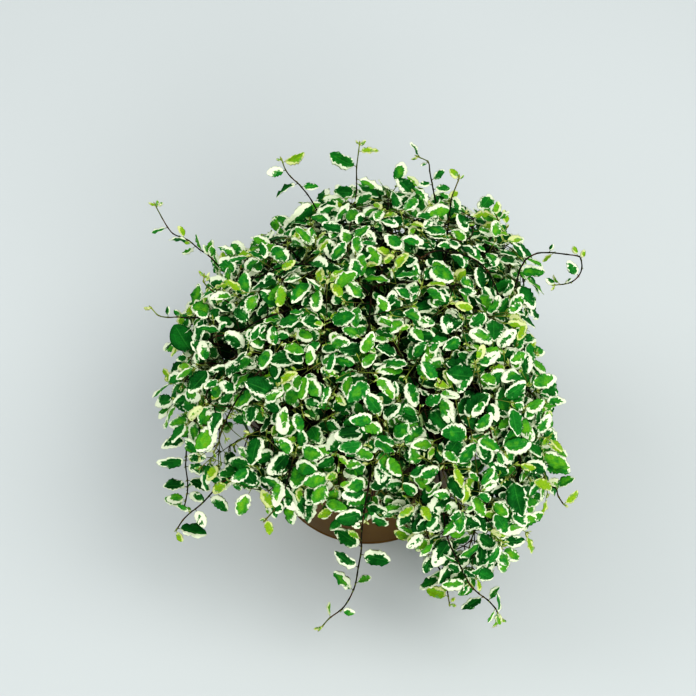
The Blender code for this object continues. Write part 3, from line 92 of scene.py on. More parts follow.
# Long shoots that stand clear of the canopy: route points from the root to the
# tip, then leaves as (place along the route, direction in degrees on the plane
# that faces front and up, blade length, blade width as seen, tone).
# tone: 0 dark, 1 mid green, 2 young yellow-green, 3 plain green without a margin
SHOOTS = [
    ("back_left_up",
     [(-18, 30, 120), (-24, 46, 152), (-30, 66, 186), (-35, 80, 206), (-44, 86, 225), (-52, 90, 235),
      (-60, 94, 242), (-64, 98, 251)],
     [(6.9, 20, 14, 5, 2), (6.3, 189, 11, 7, 1), (4.8, 205, 16, 4, 0), (4.8, 2, 10, 5, 1), (3.8, 231, 20, 10, 0),
      (2.6, 191, 14, 7.5, 1), (3.2, 35, 15, 8, 0), (2.3, 20, 16, 9, 0)]),
    ("back_up",
     [(4, 36, 120), (0, 56, 150), (-8, 78, 177), (-10, 89, 196), (-10, 94, 211), (-9, 98, 222), (-9, 103, 239),
      (-8, 106, 247), (-7, 109, 257)],
     [(7.5, 0, 12, 4.5, 2), (6.1, 155, 18, 8, 1), (5.5, -25, 17, 6, 1), (4.8, 183, 14, 7.5, 0), (5, -59, 4, 3, 0),
      (3.2, 173, 20, 10, 1), (2.3, 162, 19, 9, 0), (3.2, 8, 17, 9, 1), (2.2, 5, 17, 9, 0), (2.6, 187, 17, 9, 1)]),
    ("back_right_up",
     [(20, 34, 120), (30, 52, 150), (40, 70, 182), (39, 78, 196), (36, 85, 208), (35, 89, 215), (35, 92, 222)],
     [(6, 133, 16, 9.5, 0), (4.7, 111, 10, 7, 2), (3.8, 54, 14, 8, 1), (4.2, 232, 9, 7, 1), (4.8, 176, 11, 10, 0),
      (3.7, -31, 9, 7, 0), (2.3, 185, 16, 9, 0)]),
    ("back_right_b",
     [(34, 26, 120), (44, 46, 152), (52, 70, 186), (52, 86, 207), (49, 93, 221), (47, 97, 230), (45, 101, 239),
      (44, 104, 244), (37, 106, 247)],
     [(8, 145, 16, 5, 0), (7.1, 201, 5, 2.5, 1), (5.1, 66, 13, 7, 1), (4.4, 4, 10, 5, 1), (4.7, 174, 8, 4, 0),
      (4, -9, 9, 4.5, 0), (3, 15, 16, 9, 0), (2.5, 185, 16, 9, 1)]),
    ("back_right_c",
     [(44, 20, 120), (54, 44, 150), (58, 70, 184), (60, 80, 205), (61, 87, 215), (63, 92, 224), (66, 96, 227),
      (67, 99, 232)],
     [(6.8, 126, 8, 5, 2), (4.8, -57, 12, 5.5, 1), (3.1, 32, 10, 4.5, 2), (3, 144, 13, 7, 1),
      (4.2, -21, 6, 4.5, 0), (2.4, -12, 16, 9, 1), (4.2, 150, 8, 4, 1)]),
    ("right_up",
     [(58, 14, 120), (70, 34, 152), (82, 58, 180), (88, 68, 192), (94, 75, 197), (98, 79, 202), (96, 84, 207)],
     [(6, 85, 9, 5, 2), (4.7, 192, 15, 5.5, 2), (4.1, 13, 10, 5, 2), (2.5, 36, 14, 8, 0), (4.8, 41, 8, 3, 1),
      (3.1, 150, 10, 6, 0), (4.6, 45, 12, 4, 1), (5.4, 174, 14, 4, 2), (3.7, 188, 11, 5, 1), (2.2, -20, 16, 9, 1)]),
    ("right_runner",
     [(66, 6, 120), (78, 20, 150), (107, 36, 178), (111, 44, 187), (117, 50, 197), (123, 54, 198),
      (136, 58, 195), (148, 60, 191), (157, 59, 190), (160, 55, 185), (158, 50, 179), (151, 45, 176),
      (139, 39, 180)],
     [(6.1, 178, 12, 5.5, 2), (5.9, 66, 5, 4, 0), (8, 115, 6, 4.5, 2), (8.1, 79, 6, 4.5, 2),
      (10.2, 124, 11, 6.5, 1), (11.5, 151, 8, 3, 2), (11.5, 45, 6, 2, 1), (12, 184, 11, 7, 0), (3.2, -6, 15, 7, 1),
      (2.2, -45, 19, 9.5, 0), (3.7, 54, 10, 6, 1), (3.7, 130, 13, 5, 0), (2.3, 200, 16, 9, 1)]),
    ("left_runner",
     [(-50, 14, 120), (-66, 28, 150), (-97, 42, 164), (-107, 54, 174), (-114, 60, 180), (-121, 66, 184),
      (-128, 72, 184), (-137, 79, 187), (-148, 85, 187), (-154, 90, 193), (-161, 98, 204)],
     [(10, 31, 4, 2, 2), (8.1, 119, 9, 5, 2), (8.8, 197, 10, 3, 1), (6.9, 139, 8, 7, 1), (6.6, 115, 8, 3.5, 2),
      (5.7, 173, 13, 3, 0), (5.7, 144, 6, 5, 2), (5.6, 218, 9, 2.5, 1), (5, 115, 11, 2.5, 1), (4.4, 117, 8, 4, 1),
      (4, -62, 13, 5, 1), (4, 90, 8, 4.5, 1), (5.2, 118, 13, 2.5, 1), (4.8, 48, 10, 3.5, 1), (3.8, 43, 12, 5, 1),
      (3.1, 36, 13, 5.5, 1), (2.4, 50, 12, 6, 0), (2.3, 200, 16, 9, 0)]),
    ("left_up",
     [(-44, 0, 120), (-60, -4, 152), (-78, -4, 179), (-92, -2, 194), (-99, 0, 202), (-106, 2, 207),
      (-113, 4, 213), (-118, 7, 217), (-118, 9, 222)],
     [(6.1, 21, 11, 2.5, 2), (4.8, 97, 6, 4.5, 2), (7.2, 45, 4, 2, 2), (3.5, 51, 10, 7, 1), (4.5, -45, 8, 5, 1),
      (2.4, 190, 16, 9, 0)]),
    ("left_low",
     [(-62, 4, 120), (-80, 8, 146), (-104, 10, 171), (-123, 10, 176), (-133, 11, 175), (-144, 12, 175),
      (-151, 13, 173), (-156, 14, 175), (-160, 16, 180)],
     [(4.3, 153, 7, 4, 1), (3.8, 229, 8, 7, 1), (3.9, 55, 9, 6.5, 2), (2.8, 112, 12, 6, 0), (2.6, 86, 11, 6, 0),
      (3, -34, 8, 7, 0), (2.5, 0, 11, 7, 0), (5.6, 90, 6, 3, 1), (4.7, 41, 8, 4.5, 0), (2.3, 60, 16, 9, 0)]),
    ("left_plain",
     [(-66, -8, 120), (-84, -12, 144), (-97, -12, 163), (-107, -12, 171), (-117, -13, 174), (-126, -16, 168),
      (-135, -20, 161)],
     [(5.2, 121, 21, 16, 3), (3.2, 170, 22, 8.5, 3), (1.8, 153, 18, 11, 3), (5, -62, 11, 7, 0),
      (5.4, 190, 9, 5, 1)]),
    ("left_trail",
     [(-66, -20, 120), (-84, -28, 150), (-106, -38, 165), (-119, -46, 159), (-125, -52, 153), (-129, -58, 146),
      (-131, -64, 135), (-133, -69, 125), (-134, -73, 113), (-135, -76, 103), (-134, -78, 96), (-135, -80, 82),
      (-138, -83, 68)],
     [(6.7, 185, 16, 7.5, 0), (5.8, -26, 15, 7, 0), (7, 5, 17, 5.5, 1), (8, 190, 18, 7.5, 0), (7.7, -14, 8, 5, 2),
      (8.6, -10, 15, 7.5, 0), (10.6, 180, 15, 6.5, 0), (10.1, -19, 15, 6.5, 0), (10.7, 63, 7, 3, 0),
      (11.6, 173, 12, 6, 1), (12, 157, 13, 6.5, 1), (11, -25, 11, 6.5, 0), (12, -51, 5, 3, 2),
      (5.2, 196, 13, 7, 1), (4.8, -19, 14, 7, 0), (3.4, 190, 17, 9, 0), (3, 30, 16, 9, 1), (2.3, 190, 16, 9, 0)]),
    ("front_left_trail",
     [(-50, -50, 120), (-62, -72, 146), (-75, -92, 146), (-91, -100, 137), (-107, -105, 127), (-118, -108, 112),
      (-126, -109, 102), (-133, -111, 96), (-141, -113, 81)],
     [(1.8, 204, 15, 8, 0), (2.5, 183, 16, 8, 0), (2.9, 182, 13, 6, 1), (3.6, 145, 8, 4, 0), (3.4, -61, 9, 5.5, 1),
      (2.9, -67, 12, 6.5, 0), (2.5, -37, 11, 7, 1), (4.7, -33, 14, 7, 0), (6, -64, 12, 7, 0), (7.9, -7, 18, 7, 0),
      (5.2, 52, 7, 4, 2), (8, -60, 7, 3.5, 2), (4.2, 73, 7, 4, 0), (6.5, 153, 8, 3.5, 1), (3.6, 156, 9, 4.5, 1),
      (2.3, -76, 19, 7, 0), (0.9, 190, 16, 8, 0), (0.7, -40, 14, 8, 1)]),
    ("front_left_tip",
     [(-38, -62, 120), (-46, -88, 150), (-54, -110, 158), (-58, -121, 153), (-61, -127, 142), (-67, -130, 132),
      (-73, -133, 125)],
     [(5, 130, 13, 6.5, 2), (6, -78, 9, 5, 2), (3.5, 149, 13, 6.5, 1), (4, 248, 8, 6, 0), (3.9, -48, 10, 7, 0),
      (2.2, -32, 11, 7, 1), (2.5, 155, 11, 7, 0), (0.9, 180, 16, 9, 1)]),
    ("front_trail",
     [(4, -66, 120), (2, -96, 152), (-1, -122, 151), (-4, -134, 138), (-6, -143, 121), (-6, -147, 107),
      (-8, -151, 92), (-10, -154, 74), (-14, -158, 61), (-20, -161, 50), (-28, -164, 44), (-36, -167, 32)],
     [(6.1, 153, 17, 8, 0), (5.3, -11, 18, 9, 0), (7, 44, 13, 7, 1), (7.5, 136, 16, 6, 1), (10.1, 71, 12, 4, 2),
      (9.1, 11, 10, 7, 1), (4.3, 109, 14, 7.5, 2), (4.8, 148, 19, 9.5, 0), (3.8, 121, 13, 9, 0),
      (2.8, -13, 13, 5, 0), (3.2, 90, 8, 5, 1), (3.1, 193, 17, 10.5, 0), (2.2, 31, 16, 8, 0), (2.2, 180, 15, 9, 0),
      (10.7, 217, 4, 2, 2), (0.9, 10, 16, 9, 1), (0.6, 185, 16, 9, 0)]),
    ("front_right_trail",
     [(40, -64, 120), (46, -94, 150), (50, -120, 140), (54, -140, 116), (62, -150, 99), (68, -156, 87),
      (73, -159, 77), (78, -161, 72), (85, -163, 66), (91, -166, 59), (94, -168, 48)],
     [(7.2, 102, 9, 4, 2), (7.2, 206, 15, 4.5, 0), (8.1, 54, 10, 3.5, 1), (9.4, 80, 13, 3, 1), (9, 247, 9, 3, 1),
      (9.1, -85, 8, 4.5, 2), (10, 243, 6, 2.5, 2), (4.5, -30, 10, 4, 0), (4.6, 150, 10, 6, 0),
      (3.9, 135, 12, 6, 1), (3.9, 21, 17, 6, 1), (5.1, 25, 11, 4, 1), (3, 11, 11, 7, 1), (2.8, 188, 11, 7.5, 0),
      (0.8, 190, 16, 8, 0), (1.3, 15, 16, 9, 1), (1.6, 190, 15, 9, 1)]),
    ("front_right_b",
     [(24, -66, 120), (30, -94, 150), (34, -118, 138), (41, -136, 109), (47, -144, 89), (53, -147, 74),
      (56, -150, 63), (59, -153, 44)],
     [(3.7, 245, 12, 10, 0), (5.2, 204, 16, 5.5, 0), (6.2, 40, 20, 9, 1), (6.6, 163, 13, 7, 2),
      (4.3, 37, 15, 7.5, 0), (7, 45, 4, 3, 2), (2.9, 159, 10, 7, 0), (3.1, 203, 11, 7.5, 1), (3.5, 36, 10, 7, 1),
      (0.9, 10, 16, 9, 0), (1.3, 185, 17, 9, 1)]),
    ("right_tip",
     [(66, -40, 120), (84, -60, 150), (108, -84, 141), (118, -95, 126), (126, -103, 123), (129, -106, 129),
      (133, -108, 126), (135, -110, 119), (139, -112, 113)],
     [(5.9, 34, 12, 5, 1), (8, 44, 11, 5, 2), (8, -34, 3, 2, 2), (4.1, 171, 7, 4.5, 0), (3.4, 214, 11, 9, 1),
      (3.7, -61, 8, 3, 1), (2.8, 197, 10, 7.5, 0), (2.7, 34, 11, 7, 1), (2.4, 30, 16, 9, 1), (2.6, 210, 17, 9, 0)]),
]


def canopy_at(phi):
    """Radius and lowest level of the canopy at an azimuth in degrees."""
    phi = (phi + 180.0) % 360.0 - 180.0
    for (a, ra, za), (b, rb, zb) in zip(CANOPY, CANOPY[1:]):
        if a <= phi <= b:
            k = (phi - a) / (b - a)
            k = k * k * (3 - 2 * k)
            return ra + (rb - ra) * k, za + (zb - za) * k
    return CANOPY[0][1], CANOPY[0][2]


def azimuth(p):
    return math.degrees(math.atan2(p.y, p.x))


def canopy_depth(p):
    """How far a point stands outside the canopy surface (negative inside), and the outward normal there."""
    radius = math.hypot(p.x, p.y)
    big, _low = canopy_at(azimuth(p))
    if p.z >= DOME_Z:
        h = CROWN_Z - DOME_Z
        v = Vector((p.x, p.y, p.z - DOME_Z))
        f = math.sqrt((radius / big) ** 2 + ((p.z - DOME_Z) / h) ** 2)
        n = Vector((p.x / big ** 2, p.y / big ** 2, (p.z - DOME_Z) / h ** 2))
        n = n.normalized() if n.length > 0 else UP.copy()
        return (v.length * (1 - 1 / f) if f > 0.05 else -h), n
    n = Vector((p.x, p.y, 0.0))
    return radius - big, (n.normalized() if radius > 0 else UP.copy())


def canopy_point(phi, slope, inset):
    """The point of the dome at an azimuth and at an angle from the crown (90 is its edge), set in by some depth."""
    big, _low = canopy_at(phi)
    a = math.radians(slope)
    r = big * math.sin(a)
    z = DOME_Z + (CROWN_Z - DOME_Z) * math.cos(a)
    p = Vector((r * math.cos(math.radians(phi)), r * math.sin(math.radians(phi)), z))
    _d, n = canopy_depth(p)
    return p - n * inset


def downhill(n):
    """The direction that runs down the canopy from the crown, where its normal is n."""
    flat = math.hypot(n.x, n.y)
    if flat < 1e-6:
        return Vector((1.0, 0.0, 0.0))
    return Vector((n.x / flat * n.z, n.y / flat * n.z, -flat)).normalized()


def pot_outer(z):
    """Outer radius of the pot at a level."""
    if z >= POT_H - COLLAR_H:
        return RIM_R
    return BASE_R + (RIM_R - 4.0 - BASE_R) * z / (POT_H - COLLAR_H)


def in_pot(p, gap):
    """Whether a point is closer than gap to the pot, the soil or the floor."""
    if p.z < gap + 1.0:
        return True
    if p.z > POT_H + gap:
        return False
    r = math.hypot(p.x, p.y)
    if r > pot_outer(p.z) + gap:
        return False
    if r > SOIL_R - gap:
        return True
    return p.z < SOIL_Z + gap


class Room:
    """Remembers the stems that stand already, in cells, so that a new stem keeps clear of them."""

    CELL = 20.0

    def __init__(self):
        self.cells = {}
        self.nodes = {}

    def keys(self, a, b, grow):
        lo = [int(math.floor((min(a[i], b[i]) - grow) / self.CELL)) for i in range(3)]
        hi = [int(math.floor((max(a[i], b[i]) + grow) / self.CELL)) for i in range(3)]
        for i in range(lo[0], hi[0] + 1):
            for j in range(lo[1], hi[1] + 1):
                for k in range(lo[2], hi[2] + 1):
                    yield (i, j, k)

    def add(self, a, b, owner):
        for key in self.keys(a, b, 0.0):
            self.cells.setdefault(key, []).append((a, b, owner))

    def add_node(self, p):
        key = tuple(int(math.floor(p[i] / self.CELL)) for i in range(3))
        self.nodes.setdefault(key, []).append(p)

    def crowd(self, p, reach):
        total = 0.0
        for key in self.keys(p, p, reach):
            for q in self.nodes.get(key, ()):
                d = (q - p).length
                if d < reach:
                    total += 1 - d / reach
        return total

    def free(self, a, b, gap, owner, tail):
        """No other stem is nearer than gap. Of the owner's own stem, the last piece (tail) may touch."""
        for key in self.keys(a, b, gap):
            for c, d, who in self.cells.get(key, ()):
                if who == owner and (d - a).length < 1e-6:
                    continue
                if tail is not None and who == owner and (c - tail).length < 1e-6:
                    continue
                if stem_gap(a, b, c, d) < gap:
                    return False
        return True


def stem_gap(p1, q1, p2, q2):
    """Shortest distance between two straight pieces of stem."""
    d1, d2, r = q1 - p1, q2 - p2, p1 - p2
    a, e, f = d1.dot(d1), d2.dot(d2), d2.dot(r)
    c, b = d1.dot(r), d1.dot(d2)
    den = a * e - b * b
    s = min(1.0, max(0.0, (b * f - c * e) / den)) if den > 1e-9 else 0.0
    t = (b * s + f) / e if e > 1e-9 else 0.0
    if t < 0.0:
        t = 0.0
        s = min(1.0, max(0.0, -c / a)) if a > 1e-9 else 0.0
    elif t > 1.0:
        t = 1.0
        s = min(1.0, max(0.0, (b - c) / a)) if a > 1e-9 else 0.0
    return ((p1 + d1 * s) - (p2 + d2 * t)).length


def resample(route, step):
    """Points at an even distance along a smooth curve through the route's points."""
    fine, where = [], []
    n = len(route)
    for i in range(n - 1):
        p0 = route[i - 1] if i > 0 else route[0] * 2 - route[1]
        p1, p2 = route[i], route[i + 1]
        p3 = route[i + 2] if i + 2 < n else route[n - 1] * 2 - route[n - 2]
        for j in range(24):
            t = j / 24.0
            fine.append(0.5 * ((2 * p1) + (p2 - p0) * t + (2 * p0 - 5 * p1 + 4 * p2 - p3) * t * t
                               + (3 * p1 - p0 - 3 * p2 + p3) * t ** 3))
            where.append(i + t)
    fine.append(route[n - 1].copy())
    where.append(float(n - 1))
    length = [0.0]
    for a, b in zip(fine, fine[1:]):
        length.append(length[-1] + (b - a).length)
    count = max(2, int(round(length[-1] / step)))
    out, place, k = [], [], 0
    for i in range(count + 1):
        want = length[-1] * i / count
        while k < len(length) - 2 and length[k + 1] < want:
            k += 1
        u = (want - length[k]) / max(1e-9, length[k + 1] - length[k])
        out.append(fine[k].lerp(fine[k + 1], min(1.0, u)))
        place.append(where[k] + (where[k + 1] - where[k]) * min(1.0, u))
    return out, place


def shoot_nodes(route, places, step):
    """Nodes of a long shoot: one at each of its leaves, and more where those are far apart."""
    fine, where = resample(route, 0.8)
    length = [0.0]
    for a, b in zip(fine, fine[1:]):
        length.append(length[-1] + (b - a).length)

    def along(place):
        for k in range(len(where) - 1):
            if where[k + 1] >= place:
                return length[k]
        return length[-1]

    marks, at = [], 2.0
    for place in sorted(places):
        at = max(along(place), at + 3.6)
        marks.append((at, place))
    total = max(length[-1], at + 3.0)
    stops = [(0.0, None)]
    for mark in marks + [(total, None)]:
        gap = mark[0] - stops[-1][0]
        parts = max(1, int(round(gap / step)))
        start = stops[-1][0]
        for j in range(1, parts):
            stops.append((start + gap * j / parts, None))
        stops.append(mark)
    out, place, spec = [], [], []
    for want, mark in stops:
        k = 0
        while k < len(length) - 2 and length[k + 1] < want:
            k += 1
        u = (want - length[k]) / max(1e-9, length[k + 1] - length[k])
        out.append(fine[k].lerp(fine[k + 1], min(1.6, u)))
        place.append(where[k] + (where[k + 1] - where[k]) * min(1.0, u))
        spec.append(mark)
    return out, place, spec


class Leaf:
    """One leaf: where its stalk leaves the stem, its axis, the way it faces and its size."""

    __slots__ = ("node", "base", "axis", "face", "stalk", "length", "width", "tone", "side", "seed", "shoot")


def plain_leaves(vines):
    """The middles of the large leaves that have no cream at all."""
    return [leaf.base + leaf.axis * (leaf.stalk + 0.5 * leaf.length) for vine in vines for leaf in vine["leaves"] if leaf.tone == 3]


def hides(p, middles):
    """Whether a leaf at p would stand in front of one of these leaves."""
    for c in middles:
        v = p - c
        far = v.dot(FACE)
        if -6 < far < 70 and (v - FACE * far).length < 15:
            return True
    return False


def leaf_hull(leaf, pad=0.35):
    """A closed lens around a leaf: nothing else may cut it."""
    a, n = leaf.axis, leaf.face
    s = n.cross(a)
    c0 = leaf.base + a * 1.7
    c1 = leaf.base + a * (leaf.stalk + 0.44 * leaf.length)
    tip = leaf.base + a * (leaf.stalk + leaf.length + pad)
    w = leaf.width * 0.5 + pad
    v = [c0 + n * 0.75, c0 + s * 0.8, c0 - n * 0.75, c0 - s * 0.8,
         c1 + n * 0.75, c1 + s * w, c1 - n * 0.75, c1 - s * w, tip]
    f = [(0, 1, 2), (0, 2, 3)]
    for i in range(4):
        j = (i + 1) % 4
        f += [(i, j, 4 + j), (i, 4 + j, 4 + i), (4 + i, 4 + j, 8)]
    return v, f


class Thicket:
    """All the leaves and stems that stand already, as triangles in blocks, so that a new leaf keeps clear of them."""

    def __init__(self):
        self.blocks, self.v, self.f = [], [], []
        self.fresh = None

    def add(self, v, f):
        k = len(self.v)
        self.v += v
        self.f += [tuple(i + k for i in t) for t in f]
        self.fresh = None
        if len(self.f) > 700:
            self.blocks.append(BVHTree.FromPolygons(self.v, self.f, all_triangles=True))
            self.v, self.f = [], []

    def hits(self, v, f):
        if self.fresh is None and self.f:
            self.fresh = BVHTree.FromPolygons(self.v, self.f, all_triangles=True)
        tree = BVHTree.FromPolygons(v, f, all_triangles=True)
        for block in self.blocks:
            if block.overlap(tree):
                return True
        return bool(self.f and self.fresh.overlap(tree))


def stem_tube(a, b, r=1.25):
    """A three-sided tube around one piece of stem."""
    t = (b - a).normalized()
    s = t.cross(UP if abs(t.z) < 0.9 else FACE_RIGHT).normalized()
    n = s.cross(t)
    v = []
    for p in (a, b):
        for k in range(3):
            w = 2 * math.pi * k / 3
            v.append(p + (s * math.cos(w) + n * math.sin(w)) * r)
    f = []
    for i in range(3):
        j = (i + 1) % 3
        f += [(i, j, 3 + j), (i, 3 + j, 3 + i)]
    return v, f


def turned(v, axis, degrees):
    """A vector turned about an axis."""
    w = math.radians(degrees)
    c, s = math.cos(w), math.sin(w)
    return v * c + axis.cross(v) * s + axis * (axis.dot(v) * (1 - c))


def grow_stems(fill, rng):
    """The vines' nodes: the long shoots first, then the vines that fill the dome."""
    room = Room()
    vines = []
    for name, route, leaves in SHOOTS:
        pts, place, marks = shoot_nodes([Vector(p) for p in route], [leaf[0] for leaf in leaves], STEP * 0.75)
        pts[0].z = SOIL_Z + 0.3
        vines.append({"name": name, "pts": pts, "place": place, "marks": marks, "spec": leaves, "done": True, "young": 3})
    for k, vine in enumerate(vines):
        # a shoot that would touch an earlier one is nudged clear of it
        pts = vine["pts"]
        for i in range(1, len(pts)):
            best = pts[i]
            for trial in range(40):
                p = pts[i] + Vector((rng.uniform(-1, 1), rng.uniform(-1, 1), rng.uniform(-1, 1))) * (0.25 * trial)
                if room.free(pts[i - 1], p, 2.4, k, pts[i - 2] if i > 1 else None) and not in_pot(p, 1.5) \
                        and not in_pot((p + pts[i - 1]) * 0.5, 1.2 if i > 1 else 0.0):
                    best = p
                    break
            pts[i] = best
            room.add(pts[i - 1], pts[i], k)
            room.add_node(pts[i])
    # the vines that fill the dome: each leaves the soil, comes out of the dome at its own place, then runs down it
    starts = []
    for i in range(fill):
        k = (i + 0.5) / fill
        slope = 4.0 + 80.0 * k ** 1.15
        starts.append((math.degrees(i * 2.39996) + rng.uniform(-12, 12), slope))
    used = [v["pts"][0] for v in vines]
    growing = []
    for i, (phi, slope) in enumerate(starts):
        inset = rng.choice((1.0, 3.0, 6.0, 9.0, 14.0, 20.0))
        done = None
        for trial in range(60):
            a = phi + rng.uniform(-1, 1) * (4 + trial)
            target = canopy_point(a, slope + rng.uniform(-3, 3), inset)
            _d, n = canopy_depth(target)
            e = downhill(n)
            r = min(80.0, 0.5 * math.hypot(target.x, target.y) + rng.uniform(0, 18 + trial * 0.4))
            w = math.radians(a + rng.uniform(-25, 25))
            root = Vector((r * math.cos(w), r * math.sin(w), SOIL_Z + 0.3))
            if any((root - q).length < 5.0 for q in used):
                continue
            reach = (target - root).length
            p1 = root + UP * (0.42 * reach) + Vector((math.cos(w), math.sin(w), 0)) * (0.08 * reach)
            p2 = target - e * (0.32 * reach) + UP * (0.10 * reach if slope > 60 else 0.0)
            route = []
            for j in range(7):
                t = j / 6.0
                route.append(root * (1 - t) ** 3 + p1 * (3 * t * (1 - t) ** 2) + p2 * (3 * t * t * (1 - t)) + target * t ** 3)
            pts, _place = resample(route, STEP)
            ok = True
            for j in range(1, len(pts)):
                if not room.free(pts[j - 1], pts[j], 2.4, None, None):
                    ok = False
                    break
                for u in (0.33, 0.66, 1.0):
                    q = pts[j - 1].lerp(pts[j], u)
                    if q.z > SOIL_Z + 3 and in_pot(q, 2.0) or (j > 1 and in_pot(q, 1.5)):
                        ok = False
                if not ok:
                    break
            if ok:
                done = pts
                break
        if done is None:
            continue
        used.append(done[0])
        k = len(vines)
        for j in range(1, len(done)):
            room.add(done[j - 1], done[j], k)
            room.add_node(done[j])
        vine = {"name": "dome_%02d" % i, "pts": done, "spec": None, "done": False, "inset": inset,
                "dir": (done[-1] - done[-2]).normalized(), "young": 3,
                "left": rng.randint(9, 15) if slope < 40 else rng.randint(6, 12), "bend": rng.uniform(-1, 1)}
        vines.append(vine)
        growing.append((k, vine))
    while any(not v["done"] for _k, v in growing):
        for k, vine in growing:
            if vine["done"]:
                continue
            pts = vine["pts"]
            p = pts[-1]
            d, n = canopy_depth(p)
            e = downhill(n)
            low = canopy_at(azimuth(p))[1]
            if vine["left"] <= 0 or p.z < low + 4:
                vine["done"] = True
                continue
            best = None
            vine["bend"] = 0.7 * vine["bend"] + rng.uniform(-0.6, 0.6)
            for turn in (-48, -32, -18, -6, 6, 18, 32, 48):
                goal = turned(e, n, turn + 10 * vine["bend"])
                step = (vine["dir"] * 0.75 + goal * 0.75 - n * (0.045 * (d + vine["inset"]))
                        + Vector((rng.uniform(-1, 1), rng.uniform(-1, 1), rng.uniform(-1, 1))) * 0.10).normalized()
                q = p + step * (STEP * rng.uniform(0.9, 1.06))
                if q.z < 14 or in_pot(q, 3.0) or in_pot((p + q) * 0.5, 2.2):
                    continue
                if not room.free(p, q, 2.4, k, pts[-2]):
                    continue
                cost = room.crowd(q + step * 6, 26.0) + 0.010 * abs(turn)
                if best is None or cost < best[0]:
                    best = (cost, q, step)
            if best is None:
                vine["done"] = True
                continue
            _c, q, step = best
            room.add(p, q, k)
            room.add_node(q)
            pts.append(q)
            vine["dir"] = step
            vine["left"] -= 1
    return vines, room


def tangent_at(pts, i):
    a = pts[max(0, i - 1)]
    b = pts[min(len(pts) - 1, i + 1)]
    return (b - a).normalized()


def leaf_clear(leaf, thicket):
    """Whether a leaf stands clear of the pot, the soil and everything that grew before."""
    v, f = leaf_hull(leaf)
    for p in v[4:]:
        if in_pot(p, 1.2):
            return None
    for u in (0.3, 0.6, 0.8):
        if in_pot(v[1].lerp(v[5], u), 1.0) or in_pot(v[3].lerp(v[7], u), 1.0) or in_pot(v[5].lerp(v[8], u), 1.0) \
                or in_pot(v[7].lerp(v[8], u), 1.0):
            return None
    if thicket.hits(v, f):
        return None
    return v, f


def grow_leaves(vines, rng):
    """A leaf at each node, on alternate sides, turned to the light, where there is room for it."""
    thicket = Thicket()
    for vine in vines:
        for a, b in zip(vine["pts"], vine["pts"][1:]):
            thicket.add(*stem_tube(a, b))
        vine["leaves"] = []
    # leaves of the long shoots
    for vine in vines:
        if not vine["spec"]:
            continue
        pts = vine["pts"]
        for i, (at, degrees, length, seen, tone) in zip(
                [i for i in range(len(pts)) if vine["marks"][i] is not None], sorted(vine["spec"])):
            for trial in range(24):
                leaf = Leaf()
                leaf.node, leaf.base, leaf.shoot = i, pts[i], None
                w = math.radians(degrees + rng.uniform(-1, 1) * 1.8 * trial)
                axis = FACE_RIGHT * math.cos(w) + FACE_UP * math.sin(w)
                t = tangent_at(pts, i)
                lift = (0.45, 0.80) if abs(axis.dot(t)) > 0.78 else (-0.12, 0.25 + 0.02 * trial)
                axis = (axis + FACE * rng.uniform(*lift)).normalized()
                full = length * (0.80 if tone == 3 else 0.65)
                roll = math.degrees(math.acos(max(0.40, min(1.0, 1.10 * seen / full)))) * rng.choice((-1, 1))
                roll = max(-68.0, min(68.0, roll + rng.uniform(-1, 1) * 2.0 * trial))
                face = (FACE - axis * FACE.dot(axis)).normalized()
                leaf.face = turned(face, axis, roll)
                leaf.axis = axis
                shrink = (1.10, 1.14, 1.14, 1.05)[tone] - 0.018 * trial
                leaf.length, leaf.width = length * shrink, full * shrink
                leaf.stalk = (1.5 + 0.03 * length) * (1 if tone != 3 else 2.0)
                leaf.tone = tone
                leaf.side = 1 if t.cross(leaf.face).dot(axis) > 0 else -1
                leaf.seed = rng.random()
                if abs(axis.dot(t)) > 0.86:
                    continue
                clear = leaf_clear(leaf, thicket)
                if clear:
                    thicket.add(*clear)
                    vine["leaves"].append(leaf)
                    break
    # all other leaves, from the tips of the vines inwards
    plain = plain_leaves(vines)
    jobs = []
    for k, vine in enumerate(vines):
        n = len(vine["pts"])
        have = {leaf.node for leaf in vine["leaves"]}
        first = rng.randint(0, 1)
        for i in range(1, n - 1):
            if i in have or (vine["spec"] and vine["place"][i] > 2.1):
                continue
            d, _n = canopy_depth(vine["pts"][i])
            if d < -34 and (i * 7 + k) % 3:
                continue
            jobs.append((n - 1 - i, rng.random(), k, i, 1 if (i + first) % 2 else -1, d))
    jobs.sort()
    for back, _r, k, i, side, d in jobs:
        vine = vines[k]
        pts = vine["pts"]
        if hides(pts[i], plain):
            continue
        t = tangent_at(pts, i)
        _d, n = canopy_depth(pts[i])
        young = max(0.0, 1.0 - back / 3.0) if not vine["spec"] else 0.0
        light = (n * 0.80 + UP * 0.45 + FACE * 0.15).normalized()
        leaf = make_leaf(pts[i], t, light, side, young, rng, thicket, 16)
        if leaf:
            leaf.node = i
            # leaves deep inside the canopy take the dark tone: partly older leaves, partly painted shade
            if d < -25:
                leaf.tone = 0
            vine["leaves"].append(leaf)
    for vine in vines:
        vine["leaves"].sort(key=lambda leaf: leaf.node)
    return thicket


